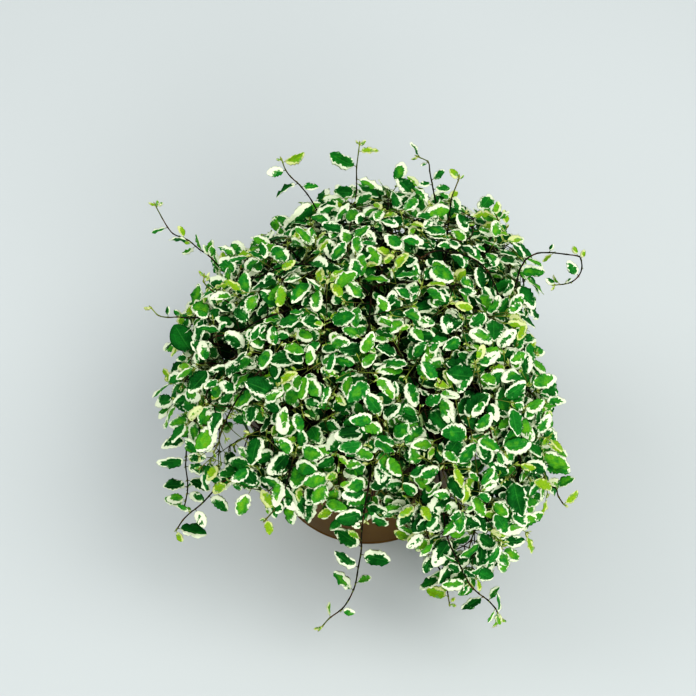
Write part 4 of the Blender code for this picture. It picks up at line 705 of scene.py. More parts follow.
def make_leaf(base, t, light, side, young, rng, thicket, trials, small=1.0):
    """Tries a few ways for a leaf to leave its node, and keeps the first that stands clear."""
    across = t.cross(light)
    if across.length < 0.2:
        across = t.cross(FACE_RIGHT)
    across = across.normalized() * side
    size = min(21.5, max(11.0, rng.gauss(16.3, 2.2))) * small
    ratio = rng.uniform(0.58, 0.68)
    for trial in range(trials):
        loose = trial / max(1.0, trials - 1.0)
        swing = math.radians(rng.uniform(48, 78) - 14 * young)
        lift = rng.uniform(-0.25, 0.35) + rng.uniform(-0.55, 0.65) * loose
        axis = (t * math.cos(swing) + across * math.sin(swing) + light * lift).normalized()
        if abs(axis.dot(t)) > 0.80:
            continue
        face = light - axis * light.dot(axis)
        if face.length < 0.2:
            continue
        face = turned(face.normalized(), axis, rng.gauss(0, 16) + rng.uniform(-42, 42) * loose)
        leaf = Leaf()
        leaf.base, leaf.axis, leaf.face, leaf.side = base, axis, face, side
        leaf.length = size * (1 - 0.22 * loose) * (1 - 0.48 * young)
        leaf.width = leaf.length * (ratio - 0.12 * young)
        leaf.stalk = 2.2 + 0.11 * leaf.length + rng.uniform(0, 1.0)
        leaf.tone = 2 if young > 0.6 else (1 if young > 0.2 or rng.random() < 0.42 else 0)
        leaf.seed = rng.random()
        leaf.node = 0
        leaf.shoot = None
        clear = leaf_clear(leaf, thicket)
        if clear:
            thicket.add(*clear)
            return leaf
    return None


def canopy_samples(count):
    """Points spread evenly over the dome and the skirt, each with its outward normal."""
    out = []
    for i in range(count):
        k = (i + 0.5) / count
        phi = math.degrees(i * 2.39996323)
        big, low = canopy_at(phi)
        phi = (phi + 180) % 360 - 180
        dome = 2 * math.pi * 120.0 * 105.0
        wall = 2 * math.pi * 148.0 * 42.0
        if k < dome / (dome + wall):
            t = k * (dome + wall) / dome
            slope = math.degrees(math.acos(1 - t))
            p = canopy_point(phi, slope, 0.0)
            _d, n = canopy_depth(p)
        else:
            t = (k - dome / (dome + wall)) * (dome + wall) / wall
            z = DOME_Z - (DOME_Z - low + 4) * t
            w = math.radians(phi)
            p = Vector((big * math.cos(w), big * math.sin(w), z))
            n = Vector((math.cos(w), math.sin(w), 0.0))
        out.append((p, n))
    return out


class Cover:
    """Where the canopy is covered by leaves already."""

    CELL = 16.0

    def __init__(self):
        self.cells = {}

    def key(self, p):
        return tuple(int(math.floor(c / self.CELL)) for c in p)

    def add(self, leaf):
        c = leaf.base + leaf.axis * (leaf.stalk + 0.5 * leaf.length)
        self.cells.setdefault(self.key(c), []).append((c, leaf.length))

    def layers(self, p, n, reach=1.0):
        total = 0.0
        k = self.key(p)
        for i in (-2, -1, 0, 1, 2):
            for j in (-2, -1, 0, 1, 2):
                for m in (-2, -1, 0, 1, 2):
                    for c, size in self.cells.get((k[0] + i, k[1] + j, k[2] + m), ()):
                        v = c - p
                        high = v.dot(n)
                        if -40 < high < 18 and (v - n * high).length < 0.40 * size * reach:
                            total += 1.0
        return total


def grow_shoots(vines, thicket, rng, samples, waves, most, cover=None, apart=0.42, size=1.0, hollows=()):
    """Short side shoots, sent from the nearest stem towards each thin place in the canopy.

    waves: leaves wanted over each place, and how deep below the surface the shoots of that wave end.
    apart: cosine of the least angle around the stem between two things that leave it at one node.
    size: how large their leaves are, against the others.
    hollows: places left open, as centre and radius; given, the surface also rises and falls a little.
    """
    bearers = [(vine, vine) for vine in vines]
    if cover is None:
        cover = Cover()
        for vine in vines:
            vine["shoots"] = []
            vine["taken"] = {}
            for leaf in vine["leaves"]:
                cover.add(leaf)
                vine["taken"].setdefault(leaf.node, []).append(leaf.axis)
    else:
        bearers += [(vine, shoot) for vine in vines for shoot in vine["shoots"]]
    nodes = {}
    for k, (_vine, stem) in enumerate(bearers):
        for i in range(1, len(stem["pts"]) - 1):
            if stem.get("spec") and stem["place"][i] > 2.6:
                continue
            p = stem["pts"][i]
            nodes.setdefault(tuple(int(math.floor(c / 20.0)) for c in p), []).append((k, i))
    plain = plain_leaves(vines)
    grown = 0
    for want, deep, high in waves:
        order = list(range(len(samples)))
        rng.shuffle(order)
        for s in order:
            if grown >= most:
                break
            p, n = samples[s]
            if cover.layers(p, n) >= want or any((p - Vector(h[:3])).length < h[3] for h in hollows):
                continue
            goal = p + n * rng.uniform(deep, high)
            if hollows:
                goal += n * (5.0 * math.sin(p.x / 11.0 + 1.3) * math.sin(p.y / 13.0) * math.cos(p.z / 12.0) + (7.0 if rng.random() < 0.12 else 0.0))
            if hides(goal, plain):
                continue
            key = tuple(int(math.floor(c / 20.0)) for c in goal)
            near = []
            for i in (-2, -1, 0, 1, 2):
                for j in (-2, -1, 0, 1, 2):
                    for m in (-2, -1, 0, 1, 2):
                        for k, node in nodes.get((key[0] + i, key[1] + j, key[2] + m), ()):
                            d = (bearers[k][1]["pts"][node] - goal).length
                            if 7 < d < 42:
                                near.append((d + rng.uniform(0, 8), k, node))
            near.sort()
            for _d, k, node in near[:8]:
                made = grow_shoot(*bearers[k], node, goal, n, rng, thicket, cover, apart, size, hollows)
                if made:
                    grown += made
                    break
    return grown, cover


def grow_shoot(vine, stem, node, goal, n, rng, thicket, cover, apart, size, hollows=()):
    """One side shoot with its leaves. Returns how many leaves it bears."""
    start = stem["pts"][node]
    t = tangent_at(stem["pts"], node)
    span = goal - start
    first = (span.normalized() + n * 0.55 + t * 0.25).normalized()
    if abs(first.dot(t)) > 0.90:
        return 0
    way = (first - t * first.dot(t)).normalized()
    for other in stem["taken"].get(node, ()):
        other = other - t * other.dot(t)
        if other.length > 1e-6 and way.dot(other.normalized()) > apart:
            return 0
    start = start + way * 0.3
    count = max(2, int(round(span.length / 8.5)) + 1)
    mid = start + first * (0.45 * span.length)
    end = goal + n * rng.uniform(-2, 5) + span.normalized() * rng.uniform(2, 7)
    pts = []
    for i in range(count + 1):
        u = i / count
        pts.append(start * (1 - u) ** 2 + mid * (2 * u * (1 - u)) + end * (u * u))
    tubes = []
    for i, (a, b) in enumerate(zip(pts, pts[1:])):
        a2 = a.lerp(b, 0.3) if i == 0 else a
        if in_pot(b, 2.0) or in_pot((a + b) * 0.5, 1.6):
            return 0
        if thicket.hits(*stem_tube(a2, b, 1.0)):
            return 0
        tubes.append(stem_tube(a2, b, 0.9))
    side = rng.choice((-1, 1))
    light = (n * 0.80 + UP * 0.45 + FACE * 0.15).normalized()
    pending = []
    for i in range(1, count + 1):
        back = count - i
        young = (0.8, 0.3, 0.1)[back] if back < 3 else 0.0
        young *= rng.uniform(0.3, 1.0)
        side = -side
        at = pts[i] if i < count else pts[i] - (pts[i] - pts[i - 1]) * 0.12
        if any((at - Vector(h[:3])).length < h[3] for h in hollows):
            continue
        leaf = make_leaf(at, tangent_at(pts, i), light, side, young, rng, thicket, 12, size * rng.uniform(0.86, 1.08))
        if leaf:
            leaf.node = i
            pending.append(leaf)
            cover.add(leaf)
    if not pending:
        return 0
    for tube in tubes:
        thicket.add(*tube)
    taken = {}
    for leaf in pending:
        taken.setdefault(leaf.node, []).append(leaf.axis)
    vine["shoots"].append({"pts": pts, "leaves": pending, "node": node, "way": way, "taken": taken})
    stem["taken"].setdefault(node, []).append(way)
    return len(pending)


# Openings between the leaves: the two ends of their axis, and their radius. Four go through the skirt, and the
# last is a hollow in front of a leaf without cream.
GAPS = (
    ((-105.0, -140.0, 209.6), (-122.3, -20.0, 45.3), 10.4),
    ((-92.4, -140.0, 222.9), (-107.3, -20.0, 61.1), 10.4),
    ((-81.3, -140.0, 235.9), (-94.0, -20.0, 76.6), 9.4),
    ((-90.8, -140.0, 251.8), (-105.3, -20.0, 95.6), 7.5),
    ((-105.3, -15.3, 166.6), (-99.7, -66.5, 227.8), 10.0),
)


def in_gap(leaf):
    c = leaf.base + leaf.axis * (leaf.stalk + 0.5 * leaf.length)
    for a, b, radius in GAPS:
        way = Vector(b) - Vector(a)
        v = c - Vector(a)
        along = v.dot(way) / way.length
        if 0 < along < way.length and (v - way * (along / way.length)).length < radius:
            return True
    return False


def open_gaps(vines, keep_twigs=False):
    """Takes the leaves out of the openings, and the side shoots that would be bare."""
    for vine in vines:
        if vine["spec"]:
            continue
        vine["leaves"] = [leaf for leaf in vine["leaves"] if not in_gap(leaf)]
        for shoot in vine["shoots"]:
            shoot["leaves"] = [leaf for leaf in shoot["leaves"] if not in_gap(leaf)]
        if not keep_twigs:
            vine["shoots"] = [shoot for shoot in vine["shoots"] if shoot["leaves"]]


# ------------------------------------------------------------------
# Mesh making
# ------------------------------------------------------------------
class Sheaf:
    """Collects the points and faces of one piece, with what its materials read, and lays out its texture map.

    look_a: blade: place along and across it (0..1, -1..1) and distance from its edge in mm; stem: age, side, 0
    look_b: a number of its own, plus 2 for each eighth of the way into the shade, which the materials use as painted
    shade; age (0 old .. 1 young, also lowered with depth as painted shade); width of the cream margin in mm
    """

    def __init__(self):
        self.co, self.a, self.b = [], [], []
        self.faces = []      # (corner indices, material, sharp) as arrays, one entry for each batch
        self.maps = []       # for each batch: cell kind, cell number, corner positions in the cell
        self.count = 0
        self.big = self.small = 0

    def cell(self, small=False):
        if small:
            self.small += 1
            return ("s", self.small - 1)
        self.big += 1
        return ("b", self.big - 1)

    def add(self, co, a, b, faces, uv, cell, material):
        """faces: list of tuples of corner numbers within co; uv: for each face, its corners' places in the cell."""
        self.co.append(np.asarray(co, float))
        self.a.append(np.asarray(a, float))
        self.b.append(np.asarray(b, float))
        self.faces.append((faces, self.count, material))
        self.maps.append((cell, uv))
        self.count += len(co)

    def build(self, name, materials):
        mesh = bpy.data.meshes.new(name)
        co = np.concatenate(self.co) * MM
        sub = 4
        cells = self.big + (self.small + sub * sub - 1) // (sub * sub)
        side = max(1, int(math.ceil(math.sqrt(cells))))
        size = 1.0 / side
        loops, starts, totals, mats, uvs = [], [], [], [], []
        at = 0
        for (faces, base, mat), (cell, uv) in zip(self.faces, self.maps):
            kind, number = cell
            if kind == "b":
                ox, oy, w = (number % side) * size, (number // side) * size, size
            else:
                block = self.big + number // (sub * sub)
                k = number % (sub * sub)
                w = size / sub
                ox = (block % side) * size + (k % sub) * w
                oy = (block // side) * size + (k // sub) * w
            pad = 0.045 * w
            for f, q in zip(faces, uv):
                starts.append(at)
                totals.append(len(f))
                mats.append(mat)
                at += len(f)
                loops.extend(base + i for i in f)
                for x, y in q:
                    uvs.append(ox + pad + x * (w - 2 * pad))
                    uvs.append(oy + pad + y * (w - 2 * pad))
        mesh.vertices.add(len(co))
        mesh.vertices.foreach_set("co", co.astype(np.float32).ravel())
        mesh.loops.add(len(loops))
        mesh.loops.foreach_set("vertex_index", np.array(loops, np.int32))
        mesh.polygons.add(len(starts))
        mesh.polygons.foreach_set("loop_start", np.array(starts, np.int32))
        mesh.polygons.foreach_set("material_index", np.array(mats, np.int32))
        mesh.update(calc_edges=True)
        for label, data in (("look_a", self.a), ("look_b", self.b)):
            attribute = mesh.attributes.new(label, "FLOAT_VECTOR", "POINT")
            attribute.data.foreach_set("vector", np.concatenate(data).astype(np.float32).ravel())
        layer = mesh.uv_layers.new(name="OFBake")
        layer.data.foreach_set("uv", np.array(uvs, np.float32))
        mesh.polygons.foreach_set("use_smooth", np.ones(len(starts), bool))
        mesh.validate()
        for m in materials:
            mesh.materials.append(m)
        obj = bpy.data.objects.new(name, mesh)
        SCENE.collection.objects.link(obj)
        return obj


# the blade: stations along it, columns across it, and the columns inside its underside
FINE = (np.array([0.0, 0.04, 0.11, 0.19, 0.28, 0.37, 0.46, 0.55, 0.64, 0.73, 0.82, 0.90, 0.96, 1.0]),
        np.array([-1.0, -0.76, -0.40, 0.0, 0.40, 0.76, 1.0]), np.array([-0.5, 0.0, 0.5]))
PLAIN = (np.array([0.0, 0.08, 0.21, 0.35, 0.50, 0.65, 0.80, 0.93, 1.0]),
         np.array([-1.0, -0.62, 0.0, 0.62, 1.0]), np.array([0.0]))
TINY = (np.array([0.0, 0.14, 0.38, 0.66, 0.88, 1.0]), np.array([-1.0, 0.0, 1.0]), np.array([0.0]))


def outline(u):
    """Half width of a blade along its length, 1 at its widest."""
    f = np.clip(u, 0, 1) ** 0.54 * (1 - np.clip(u, 0, 1)) ** 0.66
    return f / (0.45 ** 0.54 * 0.55 ** 0.66)


def blade_template(grid, teeth):
    """The flat blade for length 1 and half width 1: place along, place across, and the faces of both sides."""
    stations, columns, inside = grid
    n = len(stations)
    half = outline(stations)
    if teeth:
        half[2:n - 1:2] *= 1 - teeth
        half[3:n - 1:2] *= 1 + 0.6 * teeth
    index, u, v, edge = {}, [], [], []
    for i in range(n):
        for j, c in enumerate(columns if 0 < i < n - 1 else [0.0]):
            index["t", i, j] = len(u)
            u.append(stations[i])
            v.append(c)
            edge.append(1.0 if abs(c) == 1.0 or i in (0, n - 1) else 0.0)
    for i in range(1, n - 1):
        for j, c in enumerate(inside):
            index["u", i, j] = len(u)
            u.append(stations[i])
            v.append(c)
            edge.append(0.0)
    u, v = np.array(u), np.array(v)
    under = np.zeros(len(u), bool)
    for (kind, i, j), k in index.items():
        under[k] = kind == "u"
    top_faces, top_uv, under_faces, under_uv = [], [], [], []
    last, low_last = len(columns) - 1, len(inside) + 1

    def top(i, j):
        return index["t", i, j if 0 < i < n - 1 else 0]

    def low(i, j):
        if i in (0, n - 1):
            return index["t", i, 0]
        if j in (0, low_last):
            return index["t", i, 0 if j == 0 else last]
        return index["u", i, j - 1]

    wide = [-1.0] + list(inside) + [1.0]
    for i in range(n - 1):
        for j in range(last):
            c = [(i, j), (i + 1, j), (i + 1, j + 1), (i, j + 1)]
            if i == 0:
                c = c[:3]
            elif i == n - 2:
                c = [c[0], c[1], c[3]]
            top_faces.append(tuple(top(*q) for q in c))
            top_uv.append([((columns[q[1]] + 1) / 2 if 0 < q[0] < n - 1 else (columns[j] + columns[j + 1] + 2) / 4, stations[q[0]]) for q in c])
        for j in range(low_last):
            c = [(i, j), (i, j + 1), (i + 1, j + 1), (i + 1, j)]
            if i == 0:
                c = [c[0], c[2], c[3]]
            elif i == n - 2:
                c = c[:3]
            under_faces.append(tuple(low(*q) for q in c))
            under_uv.append([((wide[q[1]] + 1) / 2 if 0 < q[0] < n - 1 else (wide[j] + wide[j + 1] + 2) / 4, stations[q[0]]) for q in c])
    # width at each point, and the distance from the edge on a blade 1 long and 0.6 wide
    width = np.interp(u, stations, half)
    ends = np.array([[x, 0.3 * w] for x, w in zip(stations, half)])
    rim = np.concatenate([ends, ends[::-1] * np.array([1, -1])])
    p = np.stack([u, v * 0.3 * width], 1)
    distance = np.full(len(u), 9.0)
    for a, b in zip(rim, np.roll(rim, -1, 0)):
        d = b - a
        t = np.clip(((p - a) @ d) / max(1e-12, d @ d), 0, 1)
        distance = np.minimum(distance, np.linalg.norm(p - (a + t[:, None] * d), axis=1))
    distance[np.array(edge) > 0] = 0.0
    return {"u": u, "v": v, "width": width, "under": under, "distance": distance,
            "top": (top_faces, top_uv), "low": (under_faces, under_uv)}


TOOTHED, ENTIRE, SIMPLE = blade_template(FINE, 0.09), blade_template(FINE, 0.0), blade_template(PLAIN, 0.0)
OPENING = blade_template(TINY, 0.0)
BLADE, BACK, STEM = 0, 1, 2      # material slots of a vine


def frame_of(leaf):
    a = np.array(leaf.axis)
    n = np.array(leaf.face)
    n = n - a * a.dot(n)
    n /= np.linalg.norm(n)
    return a, n, np.cross(n, a)


def add_leaf(sheaf, leaf, rng):
    """One leaf: its stalk, and a thin closed blade that is folded, cupped, bent and waved along its edge."""
    a, n, s = frame_of(leaf)
    deep, _n = canopy_depth(leaf.base + leaf.axis * (0.6 * leaf.length))
    t = ENTIRE if leaf.tone == 3 else OPENING if leaf.length < 7 else SIMPLE if deep < -9 else TOOTHED
    length, half = leaf.length, leaf.width / 2
    u, v, width = t["u"], t["v"], t["width"]
    wave = rng.uniform(0.35, 1.0) * (0.4 if leaf.tone == 3 else 1.0) * length / 16
    phase_l, phase_r = rng.uniform(0, 6.28), rng.uniform(0, 6.28)
    turns = rng.uniform(1.6, 3.2)
    fold = rng.uniform(0.05, 0.38) if leaf.tone != 3 else 0.10
    if leaf.tone == 2:
        fold += 0.15
    droop = rng.uniform(-0.04, 0.28) * length
    twist = rng.uniform(-0.45, 0.45)
    skew = rng.uniform(-0.10, 0.10)
    # each tooth has a size of its own
    jag = 0.0 if leaf.tone == 3 else 0.075 if t is TOOTHED else 0.10
    left, right = (1 + jag * np.array([rng.uniform(-1, 1) for _i in range(14)]) for _s in (0, 1))
    marks = np.linspace(0, 1, 14)
    width = width * np.where(v > 0, np.interp(u, marks, right), np.interp(u, marks, left))
    across = v * width * half * (1 + skew * v)
    rise = fold * np.abs(v) * width * half * (1 - 0.35 * v * v)
    phase = np.where(v > 0, phase_r, phase_l)
    rise += wave * np.sin(u * turns * 2 * math.pi + phase) * np.abs(v) ** 2.2 * np.minimum(1, width * 1.3)
    bend = u * u
    rise -= droop * bend
    along = u * length - 0.25 * droop * bend * droop / length
    side_bend = rng.uniform(-0.05, 0.05) * length * (u - u * u) * 4
    w = twist * (u - 0.35)
    x = across * np.cos(w) - rise * np.sin(w) + side_bend
    z = across * np.sin(w) + rise * np.cos(w)
    # the underside lies a little below the top, thinning towards the edge and the ends
    thick = 0.30 * np.sqrt(np.maximum(0.0, 1 - v * v)) * np.minimum(1.0, 6 * u) * np.minimum(1.0, 6 * (1 - u))
    z = np.where(t["under"], z - thick, z)
    root = np.array(leaf.base) + a * leaf.stalk
    co = root + np.outer(along, a) + np.outer(x, s) + np.outer(z, n)
    edge = t["distance"] * (leaf.width / 0.6)
    if leaf.tone == 3:
        cream = -1.0 + 0 * v
    else:
        k = rng.random()
        wide = 0.40 + 1.30 * k if k < 0.84 else rng.uniform(1.5, 2.6)
        wide *= 0.5 + 0.5 * length / 15
        # the shoots at the back and on the left have more cream than the others
        wide *= 1 + 0.32 * min(1.0, max(0.0, (root[1] - 20) / 60)) + 0.42 * min(1.0, max(0.0, (-75 - root[0]) / 45))
        # no leaf is all cream
        wide = min(wide, 0.24 * leaf.width)
        lean = rng.uniform(0.4, 2.1) * rng.choice((-1, 1))
        cream = wide * (1 + lean * v + 0.6 * np.sin(u * rng.uniform(3, 8) + rng.uniform(0, 6.28)))
    # leaves below the canopy surface are darker and have less cream: partly because inner leaves are older, partly as
    # painted shade that deepens with depth
    old_and_shaded = min(1.0, max(0.0, (-3.0 - deep) / 16.0))
    cream = cream * (1 - 0.55 * old_and_shaded)
    age = (0.0, 0.42, 0.9, 0.0)[leaf.tone] + rng.uniform(-0.16, 0.20) - 0.35 * old_and_shaded
    look_a = np.stack([u, v, edge], 1)
    look_b = np.stack([np.full(len(u), leaf.seed + 2 * round(8 * old_and_shaded)), np.full(len(u), age), cream], 1)
    faces, uv = t["top"]
    sheaf.add(co, look_a, look_b, faces, uv, sheaf.cell(), BLADE)
    # the underside uses the same points
    faces, uv = t["low"]
    base = sheaf.count - len(co)
    sheaf.faces.append((faces, base, BACK))
    sheaf.maps.append((sheaf.cell(), uv))
    # the stalk, bent a little, runs on under the blade's base
    start = np.array(leaf.base)
    sag = n * (-0.10 * leaf.stalk)
    path = [start, start + a * (0.5 * leaf.stalk) + sag, root + a * (0.08 * length) - n * 0.14]
    add_tube(sheaf, path, [0.42, 0.33, 0.20], 3, 0.55 + 0.45 * max(0.0, age), leaf.seed, True)


def add_tube(sheaf, path, radii, sides, age, seed, small, shape=None, closed=True):
    """A tube through points, thin enough to need few sides. age: one number, or one for each point."""
    pts = np.array([np.array(p, float) for p in path])
    count = len(pts)
    tangent = np.zeros_like(pts)
    tangent[1:-1] = pts[2:] - pts[:-2]
    tangent[0], tangent[-1] = pts[1] - pts[0], pts[-1] - pts[-2]
    tangent /= np.maximum(1e-9, np.linalg.norm(tangent, axis=1))[:, None]
    up = np.array([0.31, 0.22, 0.92])
    if abs(tangent[0] @ up) > 0.9:
        up = np.array([0.9, -0.3, 0.1])
    ages = np.full(count, age) if np.isscalar(age) else np.asarray(age)
    co, la, lb = [], [], []
    for i in range(count):
        up = up - tangent[i] * (tangent[i] @ up)
        up /= np.linalg.norm(up)
        side = np.cross(tangent[i], up)
        for k in range(sides):
            w = 2 * math.pi * k / sides
            co.append(pts[i] + (up * math.cos(w) + side * math.sin(w)) * radii[i])
            la.append((ages[i], i / (count - 1.0), 0.0))
            lb.append((seed, ages[i], 0.0))
    faces, uv = [], []
    for i in range(count - 1):
        for k in range(sides):
            j = (k + 1) % sides
            faces.append((i * sides + k, i * sides + j, (i + 1) * sides + j, (i + 1) * sides + k))
            x0, x1 = k / sides, (k + 1) / sides
            y0, y1 = i / (count - 1.0), (i + 1) / (count - 1.0)
            uv.append([(x0, y0), (x1, y0), (x1, y1), (x0, y1)])
    if closed:
        first, last = len(co), len(co) + 1
        co += [pts[0] - tangent[0] * radii[0] * 0.3, pts[-1] + tangent[-1] * radii[-1]]
        la += [(ages[0], 0.0, 0.0), (ages[-1], 1.0, 0.0)]
        lb += [(seed, ages[0], 0.0), (seed, ages[-1], 0.0)]
        for k in range(sides):
            j = (k + 1) % sides
            x0, x1 = k / sides, (k + 1) / sides
            faces.append((j, k, first))
            uv.append([(x1, 0.02), (x0, 0.02), ((x0 + x1) / 2, 0.0)])
            e = (count - 1) * sides
            faces.append((e + k, e + j, last))
            uv.append([(x0, 0.98), (x1, 0.98), ((x0 + x1) / 2, 1.0)])
    sheaf.add(co, la, lb, faces, uv, sheaf.cell(small), STEM)


def smooth_path(pts, parts):
    """Points between the nodes, on a smooth curve."""
    out, where = [], []
    n = len(pts)
    for i in range(n - 1):
        p0 = pts[i - 1] if i > 0 else pts[0] * 2 - pts[1]
        p1, p2 = pts[i], pts[i + 1]
        p3 = pts[i + 2] if i + 2 < n else pts[n - 1] * 2 - pts[n - 2]
        for j in range(parts):
            t = j / parts
            out.append(0.5 * ((2 * p1) + (p2 - p0) * t + (2 * p0 - 5 * p1 + 4 * p2 - p3) * t * t
                              + (3 * p1 - p0 - 3 * p2 + p3) * t ** 3))
            where.append(i + t)
    out.append(pts[-1].copy())
    where.append(n - 1.0)
    return out, where


def add_stem(sheaf, pts, thick, thin, parts, sides, young_end, seed):
    """A stem that thins towards its tip, with a slight swelling at each node."""
    path, where = smooth_path(pts, parts)
    n = len(pts) - 1.0
    radii, ages = [], []
    for w in where:
        r = thick + (thin - thick) * (w / n) ** 0.8
        near = abs(w - round(w))
        r *= 1.0 + 0.22 * max(0.0, 1 - near * 5)
        radii.append(r)
        ages.append(max(0.0, min(1.0, 1.0 - (n - w) / young_end)))
    add_tube(sheaf, path, radii, sides, ages, seed, False)


def add_bud(sheaf, at, way, size, age, seed):
    """A pointed bud, as a short tapered tube."""
    way = np.array(way)
    at = np.array(at)
    add_tube(sheaf, [at, at + way * (0.35 * size), at + way * (0.8 * size), at + way * size],
             [0.20 * size, 0.26 * size, 0.12 * size, 0.02 * size], 4, age, seed, True)


def add_tip_leaves(sheaf, pts, light, rng, size):
    """The growing tip: a sheathed bud and two leaves that have barely opened."""
    t = (pts[-1] - pts[-2]).normalized()
    add_bud(sheaf, pts[-1] - t * 0.4, t, 3.6 * size, 0.95, rng.random())
    across = t.cross(light)
    if across.length < 0.2:
        across = t.cross(FACE_RIGHT)
    across.normalize()
    for side in (-1, 1):
        if rng.random() < 0.25:
            continue
        leaf = Leaf()
        leaf.base = pts[-1] - t * (0.6 + (0.9 if side > 0 else 0.0))
        leaf.axis = (t * 0.75 + across * side * rng.uniform(0.5, 0.9) + light * rng.uniform(0.0, 0.3)).normalized()
        face = light - leaf.axis * light.dot(leaf.axis)
        leaf.face = turned(face.normalized(), leaf.axis, side * rng.uniform(10, 40)) if face.length > 0.1 else across
        leaf.stalk = 1.0 * size
        leaf.length = rng.uniform(3.6, 6.0) * size
        leaf.width = leaf.length * rng.uniform(0.42, 0.55)
        leaf.tone, leaf.seed = 2, rng.random()
        add_leaf(sheaf, leaf, rng)


# ------------------------------------------------------------------
# Materials
# ------------------------------------------------------------------
def new_material(name, roughness, specular=0.5):
    m = bpy.data.materials.new(name)
    m.use_nodes = True
    tree = m.node_tree
    tree.nodes.clear()
    out = tree.nodes.new("ShaderNodeOutputMaterial")
    shader = tree.nodes.new("ShaderNodeBsdfPrincipled")
    shader.inputs["Roughness"].default_value = roughness
    shader.inputs["Specular IOR Level"].default_value = specular
    tree.links.new(shader.outputs[0], out.inputs["Surface"])
    return m, Wires(tree), shader


class Wires:
    """Short ways to add nodes."""

    def __init__(self, tree):
        self.tree = tree

    def node(self, kind, **settings):
        n = self.tree.nodes.new(kind)
        for k, v in settings.items():
            setattr(n, k, v)
        return n

    def put(self, socket, value):
        if hasattr(value, "is_output") or isinstance(value, bpy.types.NodeSocket):
            self.tree.links.new(value, socket)
        else:
            socket.default_value = value

    def maths(self, op, a, b=None, c=None, clamp=False):
        n = self.node("ShaderNodeMath", operation=op, use_clamp=clamp)
        for i, x in enumerate((a, b, c)):
            if x is not None:
                self.put(n.inputs[i], x)
        return n.outputs[0]

    def mix(self, factor, a, b, blend="MIX"):
        n = self.node("ShaderNodeMix", data_type="RGBA", blend_type=blend)
        self.put(n.inputs[0], factor)
        self.put(n.inputs[6], (*a, 1.0) if isinstance(a, tuple) else a)
        self.put(n.inputs[7], (*b, 1.0) if isinstance(b, tuple) else b)
        return n.outputs[2]

    def blend(self, factor, a, b):
        n = self.node("ShaderNodeMix", data_type="FLOAT")
        self.put(n.inputs[0], factor)
        self.put(n.inputs[2], a)
        self.put(n.inputs[3], b)
        return n.outputs[0]

    def step(self, value, low, high, a=0.0, b=1.0):
        n = self.node("ShaderNodeMapRange", interpolation_type="SMOOTHSTEP")
        self.put(n.inputs["Value"], value)
        n.inputs["From Min"].default_value = low
        n.inputs["From Max"].default_value = high
        n.inputs["To Min"].default_value = a
        n.inputs["To Max"].default_value = b
        return n.outputs["Result"]

    def ramp(self, value, stops):
        n = self.node("ShaderNodeValToRGB")
        r = n.color_ramp
        while len(r.elements) > 1:
            r.elements.remove(r.elements[-1])
        r.elements[0].position = stops[0][0]
        r.elements[0].color = (*stops[0][1], 1.0)
        for at, colour in stops[1:]:
            e = r.elements.new(at)
            e.color = (*colour, 1.0)
        self.put(n.inputs[0], value)
        return n.outputs["Color"]

    def noise(self, vector, scale, detail=2.0, roughness=0.5, distortion=0.0):
        n = self.node("ShaderNodeTexNoise")
        self.put(n.inputs["Vector"], vector)
        n.inputs["Scale"].default_value = scale
        n.inputs["Detail"].default_value = detail
        n.inputs["Roughness"].default_value = roughness
        n.inputs["Distortion"].default_value = distortion
        return n.outputs["Fac"]

    def place(self):
        return self.node("ShaderNodeTexCoord").outputs["Object"]

    def look(self):
        """The blade's or stem's own numbers: (along, across, edge), (its number, age, cream)."""
        out = []
        for name in ("look_a", "look_b"):
            a = self.node("ShaderNodeAttribute", attribute_name=name)
            s = self.node("ShaderNodeSeparateXYZ")
            self.tree.links.new(a.outputs["Vector"], s.inputs[0])
            out += list(s.outputs)
        return out

    def bump(self, shader, height, strength, distance):
        n = self.node("ShaderNodeBump")
        n.inputs["Strength"].default_value = strength
        n.inputs["Distance"].default_value = distance
        self.put(n.inputs["Height"], height)
        self.tree.links.new(n.outputs[0], shader.inputs["Normal"])


# the darkest green, reached mostly by leaves deep in the canopy: partly the own colour of older leaves, partly painted
# shade
OLD_SHADED_GREEN = (0.001, 0.028, 0.003)
DARK = (0.004, 0.084, 0.013)
MIDDLE = (0.016, 0.172, 0.023)
BRIGHT = (0.110, 0.350, 0.022)
YOUNG = (0.215, 0.390, 0.018)
CREAM = (0.890, 0.960, 0.690)


